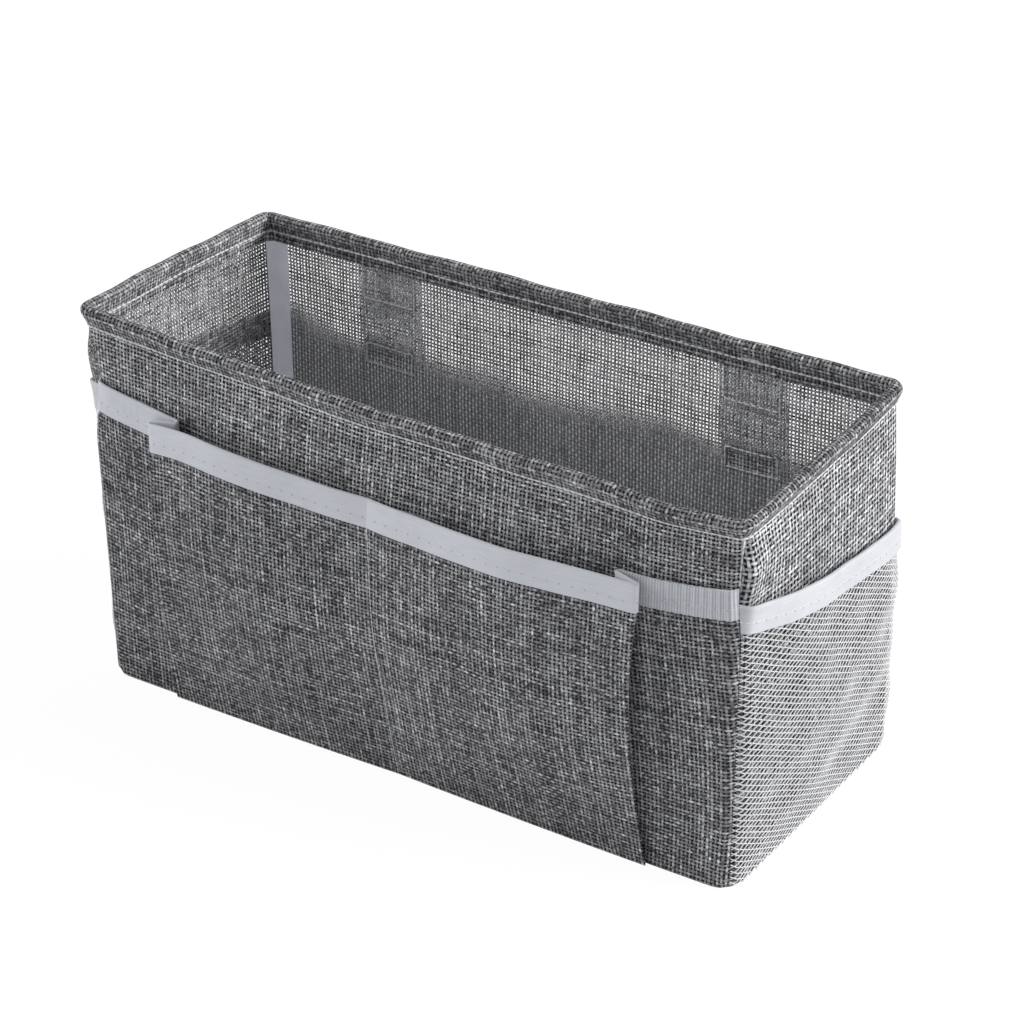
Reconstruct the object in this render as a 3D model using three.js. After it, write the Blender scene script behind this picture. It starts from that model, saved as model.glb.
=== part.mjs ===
// A bedside caddy: an open cloth tray on a wire rim, with pleated front pockets,
// net end pockets and two hook-and-loop hanging straps on the back.
// Millimetres, +Z up, the front faces -Y and the base lies on Z = 0.
import * as THREE from 'three';

// Driving sizes
const RIM_LENGTH = 302;
const RIM_DEPTH = 125;
const HEIGHT = 163;
const RIM_CORNER = 4;
const BASE_CORNER = 5;
const BASE_TUCK = 2.5;
const RIM_TWIST = 1.8;
const FRONT_BOW = 10.5;
const END_BOW = 4;
const BOW_TURN = 0.88;
const CLOTH = 0.9;
const TAPE = 0.6;
const SEAM_TAPE = 1.0;
const WEBBING = 1.4;
const GAP = 0.3;

// Rim wire, its sleeve and the hem folded over it
const WIRE_RADIUS = 1.25;
const SLEEVE_WALL = 0.35;
const SLEEVE_LENGTH = 16;
const SLEEVE_PLAY = 0.2;
const RIM_OVERHANG = 2.6;
const HEM_DEPTH = 13;
const SLEEVE_RADIUS = WIRE_RADIUS + SLEEVE_PLAY + SLEEVE_WALL;
const TUNNEL_RADIUS = SLEEVE_RADIUS + SLEEVE_PLAY;
const TUBE_RADIUS = TUNNEL_RADIUS + CLOTH;
const TUBE_OUT = RIM_OVERHANG - TUBE_RADIUS;
const TUBE_UP = HEIGHT - TUBE_RADIUS;

// Front pockets
const POCKET_DROP = 29.5;
const POCKET_MOUTH = HEIGHT - POCKET_DROP;
const BINDING_DEPTH = 12.5;
const POCKET_SAG = 6;
const LEFT_FOLD = 113;
const RIGHT_FOLD = 110;
const PLEAT = 11;
const PLEAT_PLAY = 0.9;
const DIVIDER_AT_MOUTH = -8;
const DIVIDER_AT_BASE = -3;
const PLEAT_SWELL = 2.5;

// Net pockets, whose mouths fall towards the back
const LEFT_NET_DROP = 32;
const LEFT_NET_FALL = 14;
const RIGHT_NET_DROP = 36.5;
const RIGHT_NET_FALL = 23.5;
const NET = 0.7;
const NET_BULGE = 6;
const NET_SAG = 1.5;
const NET_COLUMNS = 12;
const NET_ROWS = 14;
const KNOT = 0.22;
const NET_EDGE = 0.3;
const NET_PLAY = 0.6;
const NET_CROWDING = 0.7;

// Hanging straps
const STRAP_CENTRE = 81;
const STRAP_WIDTH = 30;
const ANCHOR_DROP = 14;
const ANCHOR_HEIGHT = 16;
const STRAP_LENGTH = 29;
const ANCHOR_TOP = HEIGHT - ANCHOR_DROP;
const HINGE_UP = ANCHOR_TOP - ANCHOR_HEIGHT;
const STRAP_END = HINGE_UP - STRAP_LENGTH;
const GRIP_WIDTH = 26;
const GRIP_HEIGHT = 12;
const GRIP = 1.0;

// Base board and seam tapes
const BOARD = 2.5;
const BOARD_PLAY = 1.8;
const BASE_TAPE_HEIGHT = 9;
const CORNER_TAPE_WIDTH = 12;

// Finishes of the solids
const finish = (color, roughness) => new THREE.MeshStandardMaterial({ color, roughness });
const LINEN = finish(0x6b6c6e, 0.95);
const ELASTIC = finish(0xdcdde2, 0.8);
const NETTING = finish(0xe8e8ea, 0.7);
const SEAM = finish(0xc9cacd, 0.85);
const STEEL = finish(0x9a9da1, 0.35);
const STIFFENER = finish(0xb9b7b0, 0.8);
const GRIPPING = finish(0x55575b, 0.9);

// Small helpers
const mix = (from, to, share) => from + (to - from) * share;
const clamp = (value) => Math.min(Math.max(value, 0), 1);
const spread = (from, to, steps) => Array.from({ length: steps + 1 }, (_, i) => mix(from, to, i / steps));
const spot = (across, up) => new THREE.Vector2(across, up);

// The four walls, counted round from the front, each turned a quarter from the one before
const halfLength = (up) => RIM_LENGTH / 2 - RIM_OVERHANG - BASE_TUCK * (1 - up / HEIGHT);
const halfDepth = () => RIM_DEPTH / 2 - RIM_OVERHANG;
const wall = (quarter, half, reach, bow) => ({ turn: (quarter * Math.PI) / 2, half, reach, bow });
const FRONT = wall(0, halfLength, halfDepth, FRONT_BOW);
const RIGHT = wall(1, halfDepth, halfLength, END_BOW);
const BACK = wall(2, halfLength, halfDepth, 0);
const LEFT = wall(3, halfDepth, halfLength, END_BOW);
const UP = new THREE.Vector3(0, 0, 1);

// The rim is twisted: its front left and back right corners stand higher than the other two
function twistAt({ x, y }, up) {
  return RIM_TWIST * (x / (RIM_LENGTH / 2)) * (y / (RIM_DEPTH / 2)) * (up / HEIGHT);
}

const cornerRadius = (up) => mix(BASE_CORNER, RIM_CORNER, up / HEIGHT);
const straightEnd = (side, up) => side.half(up) - cornerRadius(up);
const seamEnd = (side, up) => straightEnd(side, up) + (cornerRadius(up) * Math.PI) / 4;

// How far a wall bows outwards between its two corner seams
function bowOf(side, along, up) {
  const across = 1 - (along / seamEnd(side, up)) ** 2;
  return side.bow * Math.sin(BOW_TURN * Math.PI * clamp(up / HEIGHT)) * across;
}

// A place by its distance along a wall, its distance out of the wall's outer face and its height
function wallPoint(side, along, out, up) {
  const radius = cornerRadius(up);
  const straight = straightEnd(side, up);
  const angle = Math.max(0, Math.abs(along) - straight) / radius;
  const away = radius + out + bowOf(side, along, up);
  const flat = Math.min(Math.abs(along), straight);
  const sideways = Math.sign(along) * (flat + away * Math.sin(angle));
  const forward = side.reach(up) - radius + away * Math.cos(angle);
  const place = new THREE.Vector3(sideways, -forward, up).applyAxisAngle(UP, side.turn);
  place.z += twistAt(place, up);
  return place;
}

// Distance along a wall for a share from -1 to 1, the outer shares going round the corners
const CORNER_SHARE = 0.9;
function alongAt(side, share, up, trim) {
  const size = Math.abs(share);
  const straight = straightEnd(side, up);
  const round = Math.max(0, size - CORNER_SHARE) / (1 - CORNER_SHARE);
  const end = straight + (seamEnd(side, up) - trim - straight) * round;
  return Math.sign(share) * (size > CORNER_SHARE ? end : (size / CORNER_SHARE) * straight);
}

const CORNER_STEPS = 3;
function wallShares(steps) {
  const corner = spread(CORNER_SHARE, 1, CORNER_STEPS).slice(1);
  const before = corner.map((share) => -share).reverse();
  return [...before, ...spread(-CORNER_SHARE, CORNER_SHARE, steps), ...corner];
}

// Points of a bent line with the direction square to it, lengthened at bends to keep the thickness
function withNormals(points) {
  return points.map((point, i) => {
    const before = points[i - 1] ?? point;
    const after = points[i + 1] ?? point;
    const first = (i ? point : after).clone().sub(i ? before : point).normalize();
    const second = (points[i + 1] ? after : point).clone().sub(points[i + 1] ? point : before).normalize();
    const normal = spot(-first.y - second.y, first.x + second.x).normalize();
    const lean = Math.max(0.5, normal.dot(spot(-first.y, first.x)));
    return { point, normal: normal.divideScalar(lean) };
  });
}

// Sheets: points in two shares and the triangles between them
function gridSheet(columns, rows) {
  const points = [];
  const faces = [];
  for (let j = 0; j <= rows; j += 1) {
    for (let i = 0; i <= columns; i += 1) {
      points.push([i, j]);
    }
  }
  for (let j = 0; j < rows; j += 1) {
    for (let i = 0; i < columns; i += 1) {
      const a = j * (columns + 1) + i;
      const b = a + columns + 1;
      faces.push([a, a + 1, b + 1], [a, b + 1, b]);
    }
  }
  return { points, faces };
}

// A net of diamond gaps between knots, with a plain edge all round
function netSheet(columns, rows) {
  const points = [];
  const faces = [];
  const known = new Map();
  const at = (x, y) => {
    const key = `${x.toFixed(4)} ${y.toFixed(4)}`;
    if (!known.has(key)) {
      known.set(key, points.length);
      points.push([x, y]);
    }
    return known.get(key);
  };
  const patch = (...corners) => {
    const ring = corners.map(([x, y]) => at(x, y));
    ring.slice(2).forEach((_, i) => faces.push([ring[0], ring[i + 1], ring[i + 2]]));
  };
  const inside = ([x, y]) => x >= 0 && x <= columns && y >= 0 && y <= rows;
  const knotAt = (i, j) => {
    const ring = [[i + KNOT, j], [i, j + KNOT], [i - KNOT, j], [i, j - KNOT]];
    const corner = (i === 0 || i === columns) && (j === 0 || j === rows);
    const kept = ring.map((place) => (inside(place) ? place : corner ? [i, j] : null)).filter(Boolean);
    const keys = kept.map(String);
    patch(...kept.filter((place, k) => keys.indexOf(String(place)) === k));
  };
  for (let j = 0; j <= rows; j += 1) {
    for (let i = j % 2; i <= columns; i += 2) {
      knotAt(i, j);
      if (j < rows && i < columns) {
        patch([i + KNOT, j], [i + 1, j + 1 - KNOT], [i + 1 - KNOT, j + 1], [i, j + KNOT]);
      }
      if (j < rows && i > 0) {
        patch([i, j + KNOT], [i - 1 + KNOT, j + 1], [i - 1, j + 1 - KNOT], [i - KNOT, j]);
      }
    }
  }
  const stops = (count, odd) => {
    const marks = spread(0, count, count).flatMap((i) => (i % 2 === odd ? [i - KNOT, i + KNOT] : [i]));
    const between = marks.filter((x) => x > 0 && x < count);
    return [-NET_EDGE, 0, ...between, count, count + NET_EDGE];
  };
  const strip = (marks, low, high, turned) => {
    const place = (x, y) => (turned ? [y, x] : [x, y]);
    marks.slice(1).forEach((x, i) => {
      const ring = [place(marks[i], low), place(x, low), place(x, high), place(marks[i], high)];
      patch(...(turned ? ring.reverse() : ring));
    });
  };
  strip(stops(columns, 0), -NET_EDGE, 0, false);
  strip(stops(columns, rows % 2), rows, rows + NET_EDGE, false);
  strip(stops(rows, 0).slice(1, -1), -NET_EDGE, 0, true);
  strip(stops(rows, columns % 2).slice(1, -1), columns, columns + NET_EDGE, true);
  return { points, faces };
}

// A closed solid from flat lists of places and triangles, turned the right way out
function solid(places, faces) {
  const volume = faces.reduce((sum, [a, b, c]) => {
    const normal = new THREE.Vector3().crossVectors(places[b], places[c]);
    return sum + places[a].dot(normal);
  }, 0);
  const ordered = volume < 0 ? faces.map(([a, b, c]) => [a, c, b]) : faces;
  const geometry = new THREE.BufferGeometry().setFromPoints(places);
  geometry.setIndex(ordered.flat());
  geometry.computeVertexNormals();
  return geometry;
}

// A sheet given thickness: place(x, y, face) is called with face 0.5 and -0.5 for its two sides
function thicken(sheet, place) {
  const places = sheet.points.flatMap(([x, y]) => [place(x, y, 0.5), place(x, y, -0.5)]);
  const edges = new Set();
  const sides = ([a, b, c]) => [[a, b], [b, c], [c, a]];
  sheet.faces.forEach((face) => sides(face).forEach(([a, b]) => edges.add(`${a} ${b}`)));
  const faces = sheet.faces.flatMap(([a, b, c]) => [
    [2 * a, 2 * b, 2 * c],
    [2 * c + 1, 2 * b + 1, 2 * a + 1],
  ]);
  sheet.faces.flatMap(sides).forEach(([a, b]) => {
    if (!edges.has(`${b} ${a}`)) {
      faces.push([2 * b, 2 * a, 2 * a + 1], [2 * b, 2 * a + 1, 2 * b + 1]);
    }
  });
  return solid(places, faces);
}

// A solid rod through rings of places, closed at both ends
function rod(rings) {
  const sides = rings[0].length;
  const places = rings.flat();
  const faces = [];
  const at = (i, k) => i * sides + (k % sides);
  for (let i = 1; i < rings.length; i += 1) {
    for (let k = 0; k < sides; k += 1) {
      faces.push([at(i - 1, k), at(i, k), at(i, k + 1)], [at(i - 1, k), at(i, k + 1), at(i - 1, k + 1)]);
    }
  }
  const last = rings.length - 1;
  for (let k = 1; k < sides - 1; k += 1) {
    faces.push([at(0, 0), at(0, k), at(0, k + 1)], [at(last, 0), at(last, k + 1), at(last, k)]);
  }
  return solid(places, faces);
}

// Wall panels with their hems: up the wall, over the rim wire and down inside
const PANEL_FOOT = CLOTH + GAP;
const HEM_LEAVES = TUBE_UP - 2 * TUBE_RADIUS;
const PANEL_LEVELS = 8;
function hemLine() {
  const middle = TUNNEL_RADIUS + CLOTH / 2;
  const turns = spread(-Math.PI / 6, Math.PI, 7);
  const round = turns.map((a) => spot(TUBE_OUT + middle * Math.cos(a), TUBE_UP + middle * Math.sin(a)));
  const wallLine = spread(PANEL_FOOT, HEM_LEAVES, PANEL_LEVELS).map((up) => spot(-CLOTH / 2, up));
  const inside = -CLOTH * 1.5 - GAP;
  return [...wallLine, ...round, spot(inside, HEM_LEAVES), spot(inside, HEIGHT - HEM_DEPTH)];
}

function panel(side, steps) {
  const shares = wallShares(steps);
  const line = withNormals(hemLine());
  return thicken(gridSheet(shares.length - 1, line.length - 1), (i, j, face) => {
    const { point, normal } = line[j];
    const across = point.x + normal.x * CLOTH * face;
    const up = point.y + normal.y * CLOTH * face;
    return wallPoint(side, alongAt(side, shares[i], up, GAP / 2), across, up);
  });
}

// Rim wire: an open hoop whose two ends meet inside a sleeve at the middle of the back
const WIRE_SIDES = 8;
const WIRE_SPLIT = 0.6;
function wireStations() {
  const whole = (side, steps) => wallShares(steps).map((share) => [side, alongAt(side, share, TUBE_UP, 0)]);
  const back = whole(BACK, BACK_STEPS);
  const last = back.filter(([, along]) => along < -SLEEVE_LENGTH);
  const first = back.filter(([, along]) => along > SLEEVE_LENGTH);
  const round = [...whole(LEFT, END_STEPS).slice(1), ...whole(FRONT, FRONT_STEPS).slice(1)];
  const rest = [...whole(RIGHT, END_STEPS).slice(1), ...last.slice(1)];
  return [[BACK, WIRE_SPLIT], ...first, ...round, ...rest, [BACK, -WIRE_SPLIT]];
}

function rimWire() {
  const turns = spread(0, 2 * Math.PI, WIRE_SIDES).slice(1);
  return rod(wireStations().map(([side, along]) => turns.map((a) => {
    const across = TUBE_OUT + WIRE_RADIUS * Math.cos(a);
    return wallPoint(side, along, across, TUBE_UP + WIRE_RADIUS * Math.sin(a));
  })));
}

function wireSleeve() {
  const ring = new THREE.Shape().absarc(0, 0, SLEEVE_RADIUS, 0, 2 * Math.PI);
  ring.holes.push(new THREE.Path().absarc(0, 0, WIRE_RADIUS + SLEEVE_PLAY, 0, 2 * Math.PI, true));
  const tube = new THREE.ExtrudeGeometry(ring, { depth: SLEEVE_LENGTH, bevelEnabled: false, curveSegments: 8 });
  const middle = wallPoint(BACK, 0, TUBE_OUT, TUBE_UP);
  return tube.translate(0, 0, -SLEEVE_LENGTH / 2).rotateY(Math.PI / 2).translate(middle.x, middle.y, middle.z);
}

// Base: a cloth bottom and the stiff board that lies on it
function basePlate(inset, thickness, foot) {
  const around = [FRONT, RIGHT, BACK, LEFT].flatMap((side) => wallShares(1).slice(1).map((share) => {
    const place = wallPoint(side, alongAt(side, share, 0, 0), -inset, 0);
    return spot(place.x, place.y);
  }));
  const outline = new THREE.Shape(around);
  return new THREE.ExtrudeGeometry(outline, { depth: thickness, bevelEnabled: false }).translate(0, 0, foot);
}

// Tapes over the raw seam edges inside the tray
const TAPE_OUT = -CLOTH - GAP - SEAM_TAPE / 2;
const BASE_TAPE_TOP = PANEL_FOOT + BASE_TAPE_HEIGHT;
function baseTape(side, steps) {
  const shares = wallShares(steps);
  return thicken(gridSheet(shares.length - 1, 1), (i, j, face) => {
    const up = mix(PANEL_FOOT, BASE_TAPE_TOP, j);
    return wallPoint(side, alongAt(side, shares[i], up, GAP), TAPE_OUT + SEAM_TAPE * face, up);
  });
}

const TAPE_STEPS = 3;
const TAPE_LEVELS = 6;
function cornerTape(side, hand) {
  const top = HEIGHT - HEM_DEPTH - GAP;
  return thicken(gridSheet(TAPE_STEPS, TAPE_LEVELS), (i, j, face) => {
    const up = mix(BASE_TAPE_TOP + GAP, top, j / TAPE_LEVELS);
    const along = seamEnd(side, up) - GAP - (CORNER_TAPE_WIDTH * i) / TAPE_STEPS;
    return wallPoint(side, hand * along, TAPE_OUT + SEAM_TAPE * face, up);
  });
}

// Front pockets: each half runs from a corner seam, back on itself in a pleat, and on to the divider
const BINDING_FOOT = POCKET_MOUTH - BINDING_DEPTH;
const MOUTH_STAND = 2 * GAP + TAPE + CLOTH / 2;
const NET_STAND = GAP + TAPE + NET_PLAY + NET / 2;
const MOUTH_LAYER = CLOTH + 2 * (GAP + TAPE) + PLEAT_PLAY;
const FOOT_STAND = GAP + CLOTH / 2;
const FOOT_LAYER = CLOTH + GAP;
const BEND_STEPS = 4;
const WING_STEPS = 3;
const POCKET_SPAN = 8;
const opening = (up) => clamp((up - PANEL_FOOT) / (BINDING_FOOT - PANEL_FOOT));
const dividerAt = (up) => mix(DIVIDER_AT_BASE, DIVIDER_AT_MOUTH, opening(up));

// Half a turn of cloth from one layer to the next, bulging towards the given hand
function bend(from, low, high, reach) {
  const turns = spread(-Math.PI / 2, Math.PI / 2, BEND_STEPS);
  const middle = (low + high) / 2;
  return turns.map((a) => spot(from + reach * Math.cos(a), middle + ((high - low) / 2) * Math.sin(a)));
}

function pocketLine(hand, up) {
  const open = opening(up);
  const stand = mix(FOOT_STAND, MOUTH_STAND, open);
  const layer = mix(FOOT_LAYER, MOUTH_LAYER, open);
  const swell = PLEAT_SWELL * Math.sin(Math.PI * open);
  const fold = hand < 0 ? LEFT_FOLD : RIGHT_FOLD;
  const inner = fold - PLEAT;
  const seam = seamEnd(FRONT, up) - GAP / 2;
  const straight = straightEnd(FRONT, up);
  const middle = stand + layer;
  const face = stand + 2 * layer + swell;
  const divider = hand * dividerAt(up) + GAP;
  const round = spread(seam, straight, CORNER_STEPS);
  const flat = spread(straight, inner + layer, WING_STEPS).slice(1);
  const wing = [...round, ...flat].map((x) => spot(x, stand));
  const back = bend(inner + layer / 2, stand, middle, -layer / 2);
  const front = bend(fold - layer / 2, middle, face, layer / 2);
  const span = spread(0, 1, POCKET_SPAN).slice(1).map((share) => {
    const out = mix(face, stand, share ** 2);
    return spot(mix(fold - layer / 2, divider, share), out);
  });
  return [...wing, ...back, ...front, ...span].map(({ x, y }) => spot(hand * x, y));
}

function pocketPoint(hand, i, offset, up) {
  const { point, normal } = withNormals(pocketLine(hand, up))[i];
  const along = point.x + normal.x * offset;
  const across = 1 - (point.x / seamEnd(FRONT, up)) ** 2;
  return wallPoint(FRONT, along, point.y + normal.y * offset, up - POCKET_SAG * across * (up / POCKET_MOUTH));
}

const POCKET_LEVELS = [...spread(PANEL_FOOT, BINDING_FOOT, 6), POCKET_MOUTH - TAPE - GAP];
const POCKET_POINTS = pocketLine(1, POCKET_MOUTH).length;
function frontPocket(hand) {
  const sheet = gridSheet(POCKET_POINTS - 1, POCKET_LEVELS.length - 1);
  return thicken(sheet, (i, j, face) => pocketPoint(hand, i, CLOTH * face, POCKET_LEVELS[j]));
}

// Elastic folded over a mouth: down the outside, over the top and down the inside
function bindingLine(mouth, thickness, play) {
  const side = thickness / 2 + play + TAPE / 2;
  const foot = mouth - BINDING_DEPTH;
  const top = mouth - TAPE / 2;
  return withNormals([spot(side, foot), spot(side, top), spot(-side, top), spot(-side, foot)]);
}

function frontBinding(hand) {
  const line = bindingLine(POCKET_MOUTH, CLOTH, GAP);
  return thicken(gridSheet(POCKET_POINTS - 1, line.length - 1), (i, j, face) => {
    const { point, normal } = line[j];
    return pocketPoint(hand, i, point.x + normal.x * TAPE * face, point.y + normal.y * TAPE * face);
  });
}

// Net pockets: sewn at the corner seams and the base, standing away from the end panel at the mouth
const netPocket = (side, drop, fall, rearward) => ({ side, mouth: HEIGHT - drop, fall, rearward });
const LEFT_NET = netPocket(LEFT, LEFT_NET_DROP, LEFT_NET_FALL, -1);
const RIGHT_NET = netPocket(RIGHT, RIGHT_NET_DROP, RIGHT_NET_FALL, 1);
function netOut(share, rise) {
  const stand = mix(FOOT_STAND, NET_STAND, rise);
  return stand + NET_BULGE * rise ** 0.8 * (1 - Math.abs(share) ** 3);
}

// Columns of the net draw closer together towards the corners, where the wall turns
function netPoint(net, column, offset, up) {
  const share = mix(column, Math.sin((column * Math.PI) / 2), NET_CROWDING);
  const along = share * (seamEnd(net.side, up) - GAP / 2);
  const rise = clamp(up / (net.mouth - BINDING_DEPTH));
  const fall = net.fall * mix(0.5, 1, net.rearward * share);
  const drop = (fall + NET_SAG * (1 - share ** 2)) * rise;
  return wallPoint(net.side, along, netOut(share, rise) + offset, up - drop);
}

function netPanel(net) {
  const wide = NET_COLUMNS + 2 * NET_EDGE;
  const tall = NET_ROWS + 2 * NET_EDGE;
  return thicken(netSheet(NET_COLUMNS, NET_ROWS), (x, y, face) => {
    const up = mix(PANEL_FOOT, net.mouth - TAPE - GAP, (y + NET_EDGE) / tall);
    return netPoint(net, mix(-1, 1, (x + NET_EDGE) / wide), NET * face, up);
  });
}

const NET_BINDING_STEPS = 24;
function netBinding(net) {
  const line = bindingLine(net.mouth, NET, NET_PLAY);
  return thicken(gridSheet(NET_BINDING_STEPS, line.length - 1), (i, j, face) => {
    const { point, normal } = line[j];
    const column = mix(-1, 1, i / NET_BINDING_STEPS);
    return netPoint(net, column, point.x + normal.x * TAPE * face, point.y + normal.y * TAPE * face);
  });
}

// Straps on the back: a sewn anchor, a free strap below it and a pair of gripping tapes
const LOOP_OUT = GAP + GRIP / 2;
const HOOK_OUT = LOOP_OUT + GRIP + GAP;
const STRAP_OUT = HOOK_OUT + GRIP / 2 + GAP + WEBBING / 2;
const ANCHOR_OUT = GAP + WEBBING / 2;
const STRAP_STEPS = 4;
function backPatch(hand, width, line, thickness) {
  const bent = withNormals(line);
  return thicken(gridSheet(STRAP_STEPS, bent.length - 1), (i, j, face) => {
    const { point, normal } = bent[j];
    const along = -hand * STRAP_CENTRE + width * (i / STRAP_STEPS - 0.5);
    const across = point.x + normal.x * thickness * face;
    return wallPoint(BACK, along, across, point.y + normal.y * thickness * face);
  });
}

const ANCHOR_LINE = [spot(ANCHOR_OUT, HINGE_UP), spot(ANCHOR_OUT, ANCHOR_TOP)];
const STRAP_BEND = STRAP_END + GRIP_HEIGHT + GAP;
const STRAP_TOP = HINGE_UP - GAP;
const STRAP_LINE = [
  spot(STRAP_OUT, STRAP_END),
  spot(STRAP_OUT, STRAP_BEND),
  spot(ANCHOR_OUT, STRAP_TOP - WEBBING),
  spot(ANCHOR_OUT, STRAP_TOP),
];
const gripLine = (out) => [spot(out, STRAP_END + GAP), spot(out, STRAP_END + GRIP_HEIGHT)];

// The assembly
const FRONT_STEPS = 16;
const BACK_STEPS = 8;
const END_STEPS = 6;
const caddy = new THREE.Group();
caddy.name = 'bedside_caddy';
function add(name, geometry, material) {
  const mesh = new THREE.Mesh(geometry, material);
  mesh.name = name;
  caddy.add(mesh);
}

add('front_panel', panel(FRONT, FRONT_STEPS), LINEN);
add('right_end_panel', panel(RIGHT, END_STEPS), LINEN);
add('back_panel', panel(BACK, BACK_STEPS), LINEN);
add('left_end_panel', panel(LEFT, END_STEPS), LINEN);
add('bottom_panel', basePlate(0, CLOTH, 0), LINEN);
add('base_board', basePlate(CLOTH + GAP + SEAM_TAPE + BOARD_PLAY, BOARD, PANEL_FOOT), STIFFENER);
add('rim_wire', rimWire(), STEEL);
add('wire_sleeve', wireSleeve(), STEEL);
add('front_base_tape', baseTape(FRONT, 1), SEAM);
add('right_base_tape', baseTape(RIGHT, 1), SEAM);
add('back_base_tape', baseTape(BACK, 1), SEAM);
add('left_base_tape', baseTape(LEFT, 1), SEAM);
add('front_left_corner_tape', cornerTape(FRONT, -1), SEAM);
add('front_right_corner_tape', cornerTape(FRONT, 1), SEAM);
add('back_left_corner_tape', cornerTape(BACK, 1), SEAM);
add('back_right_corner_tape', cornerTape(BACK, -1), SEAM);
[['left', -1, LEFT_NET], ['right', 1, RIGHT_NET]].forEach(([name, hand, net]) => {
  add(`front_${name}_pocket`, frontPocket(hand), LINEN);
  add(`front_${name}_binding`, frontBinding(hand), ELASTIC);
  add(`${name}_net`, netPanel(net), NETTING);
  add(`${name}_net_binding`, netBinding(net), ELASTIC);
  add(`${name}_strap_anchor`, backPatch(hand, STRAP_WIDTH, ANCHOR_LINE, WEBBING), LINEN);
  add(`${name}_strap`, backPatch(hand, STRAP_WIDTH, STRAP_LINE, WEBBING), LINEN);
  add(`${name}_hook_tape`, backPatch(hand, GRIP_WIDTH, gripLine(HOOK_OUT), GRIP), GRIPPING);
  add(`${name}_loop_tape`, backPatch(hand, GRIP_WIDTH, gripLine(LOOP_OUT), GRIP), GRIPPING);
});

// The whole is moved so that the middle of its box stands over the origin
const box = new THREE.Box3().setFromObject(caddy);
const middle = box.getCenter(new THREE.Vector3());
caddy.children.forEach((mesh) => mesh.geometry.translate(-middle.x, -middle.y, -box.min.z));

export default caddy;
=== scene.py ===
import logging
import math
from dataclasses import dataclass
from enum import Enum
from typing import Any, Callable, Mapping, Sequence

import bpy
import numpy as np
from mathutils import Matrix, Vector


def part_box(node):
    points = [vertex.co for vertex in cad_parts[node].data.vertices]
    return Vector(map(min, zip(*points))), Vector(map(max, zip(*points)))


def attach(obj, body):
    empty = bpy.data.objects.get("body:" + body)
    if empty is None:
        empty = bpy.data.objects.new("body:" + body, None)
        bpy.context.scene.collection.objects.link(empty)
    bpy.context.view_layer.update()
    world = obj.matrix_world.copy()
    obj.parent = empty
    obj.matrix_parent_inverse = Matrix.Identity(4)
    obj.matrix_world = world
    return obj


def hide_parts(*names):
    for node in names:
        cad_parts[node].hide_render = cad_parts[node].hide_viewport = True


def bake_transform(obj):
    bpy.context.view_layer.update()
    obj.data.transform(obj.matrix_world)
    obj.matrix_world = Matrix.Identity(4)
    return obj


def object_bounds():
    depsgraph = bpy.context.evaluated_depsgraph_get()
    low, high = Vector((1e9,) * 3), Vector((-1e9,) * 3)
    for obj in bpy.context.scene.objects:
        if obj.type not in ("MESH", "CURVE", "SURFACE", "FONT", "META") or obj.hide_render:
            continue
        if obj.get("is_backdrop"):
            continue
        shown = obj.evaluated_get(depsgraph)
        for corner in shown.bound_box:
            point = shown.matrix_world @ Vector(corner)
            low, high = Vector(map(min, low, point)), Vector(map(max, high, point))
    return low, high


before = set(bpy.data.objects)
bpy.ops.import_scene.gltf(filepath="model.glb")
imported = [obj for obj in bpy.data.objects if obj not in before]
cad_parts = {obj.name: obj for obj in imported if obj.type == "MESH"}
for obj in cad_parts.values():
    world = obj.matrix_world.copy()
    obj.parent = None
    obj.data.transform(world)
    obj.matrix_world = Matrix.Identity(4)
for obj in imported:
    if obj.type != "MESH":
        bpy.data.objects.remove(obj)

CAD_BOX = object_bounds()
BODY = "caddy_body"
CLOTH_MAP = "Cloth"
MM = 0.001
# Metres between the walls on the flat cloth, so that no two share a stretch of weave
CUT_STEP = 0.7
CORNER_STEPS = 6
LINE_POINTS = 12
SHARP_ANGLE = math.radians(55)
LOG = logging.getLogger("caddy")

Colour = tuple[float, float, float]
Grid = np.ndarray
# Each wave's size, its rates along and up a wall, and how far a key shifts it
Waves = tuple[tuple[float, float, float, float], ...]


class Side(Enum):
    """The four walls, counted round from the front, each a quarter turn on from the one before."""

    FRONT = 0
    RIGHT = 1
    BACK = 2
    LEFT = 3


LONG_SIDES = (Side.FRONT, Side.BACK)


class Hand(Enum):
    """The two ends of the caddy, seen from the front."""

    LEFT = -1
    RIGHT = 1

    @property
    def word(self) -> str:
        """The hand as a word in piece names."""
        return self.name.lower()

    @property
    def end(self) -> Side:
        """The end wall on this hand."""
        return Side.LEFT if self is Hand.LEFT else Side.RIGHT


# Shader sums


def sum_of(operation: str, swapped: bool = False) -> Callable[["Value", Any], "Value"]:
    """A method of Value that adds a Math node for it and one other value.

    Args:
        operation: The Math node's operation.
        swapped: Whether the other value comes first, as in an operator's reflected form.

    Returns:
        The method.
    """

    def method(self: "Value", other: Any) -> "Value":
        """This and the other, through one Math node."""
        terms = {0: other, 1: self} if swapped else {0: self, 1: other}
        return self.graph.node("ShaderNodeMath", {"operation": operation}, terms)

    return method


def change_of(operation: str) -> Callable[["Value"], "Value"]:
    """A method of Value that adds a Math node for it alone."""

    def method(self: "Value") -> "Value":
        """This, through one Math node."""
        return self.graph.node("ShaderNodeMath", {"operation": operation}, {0: self})

    return method


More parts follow.
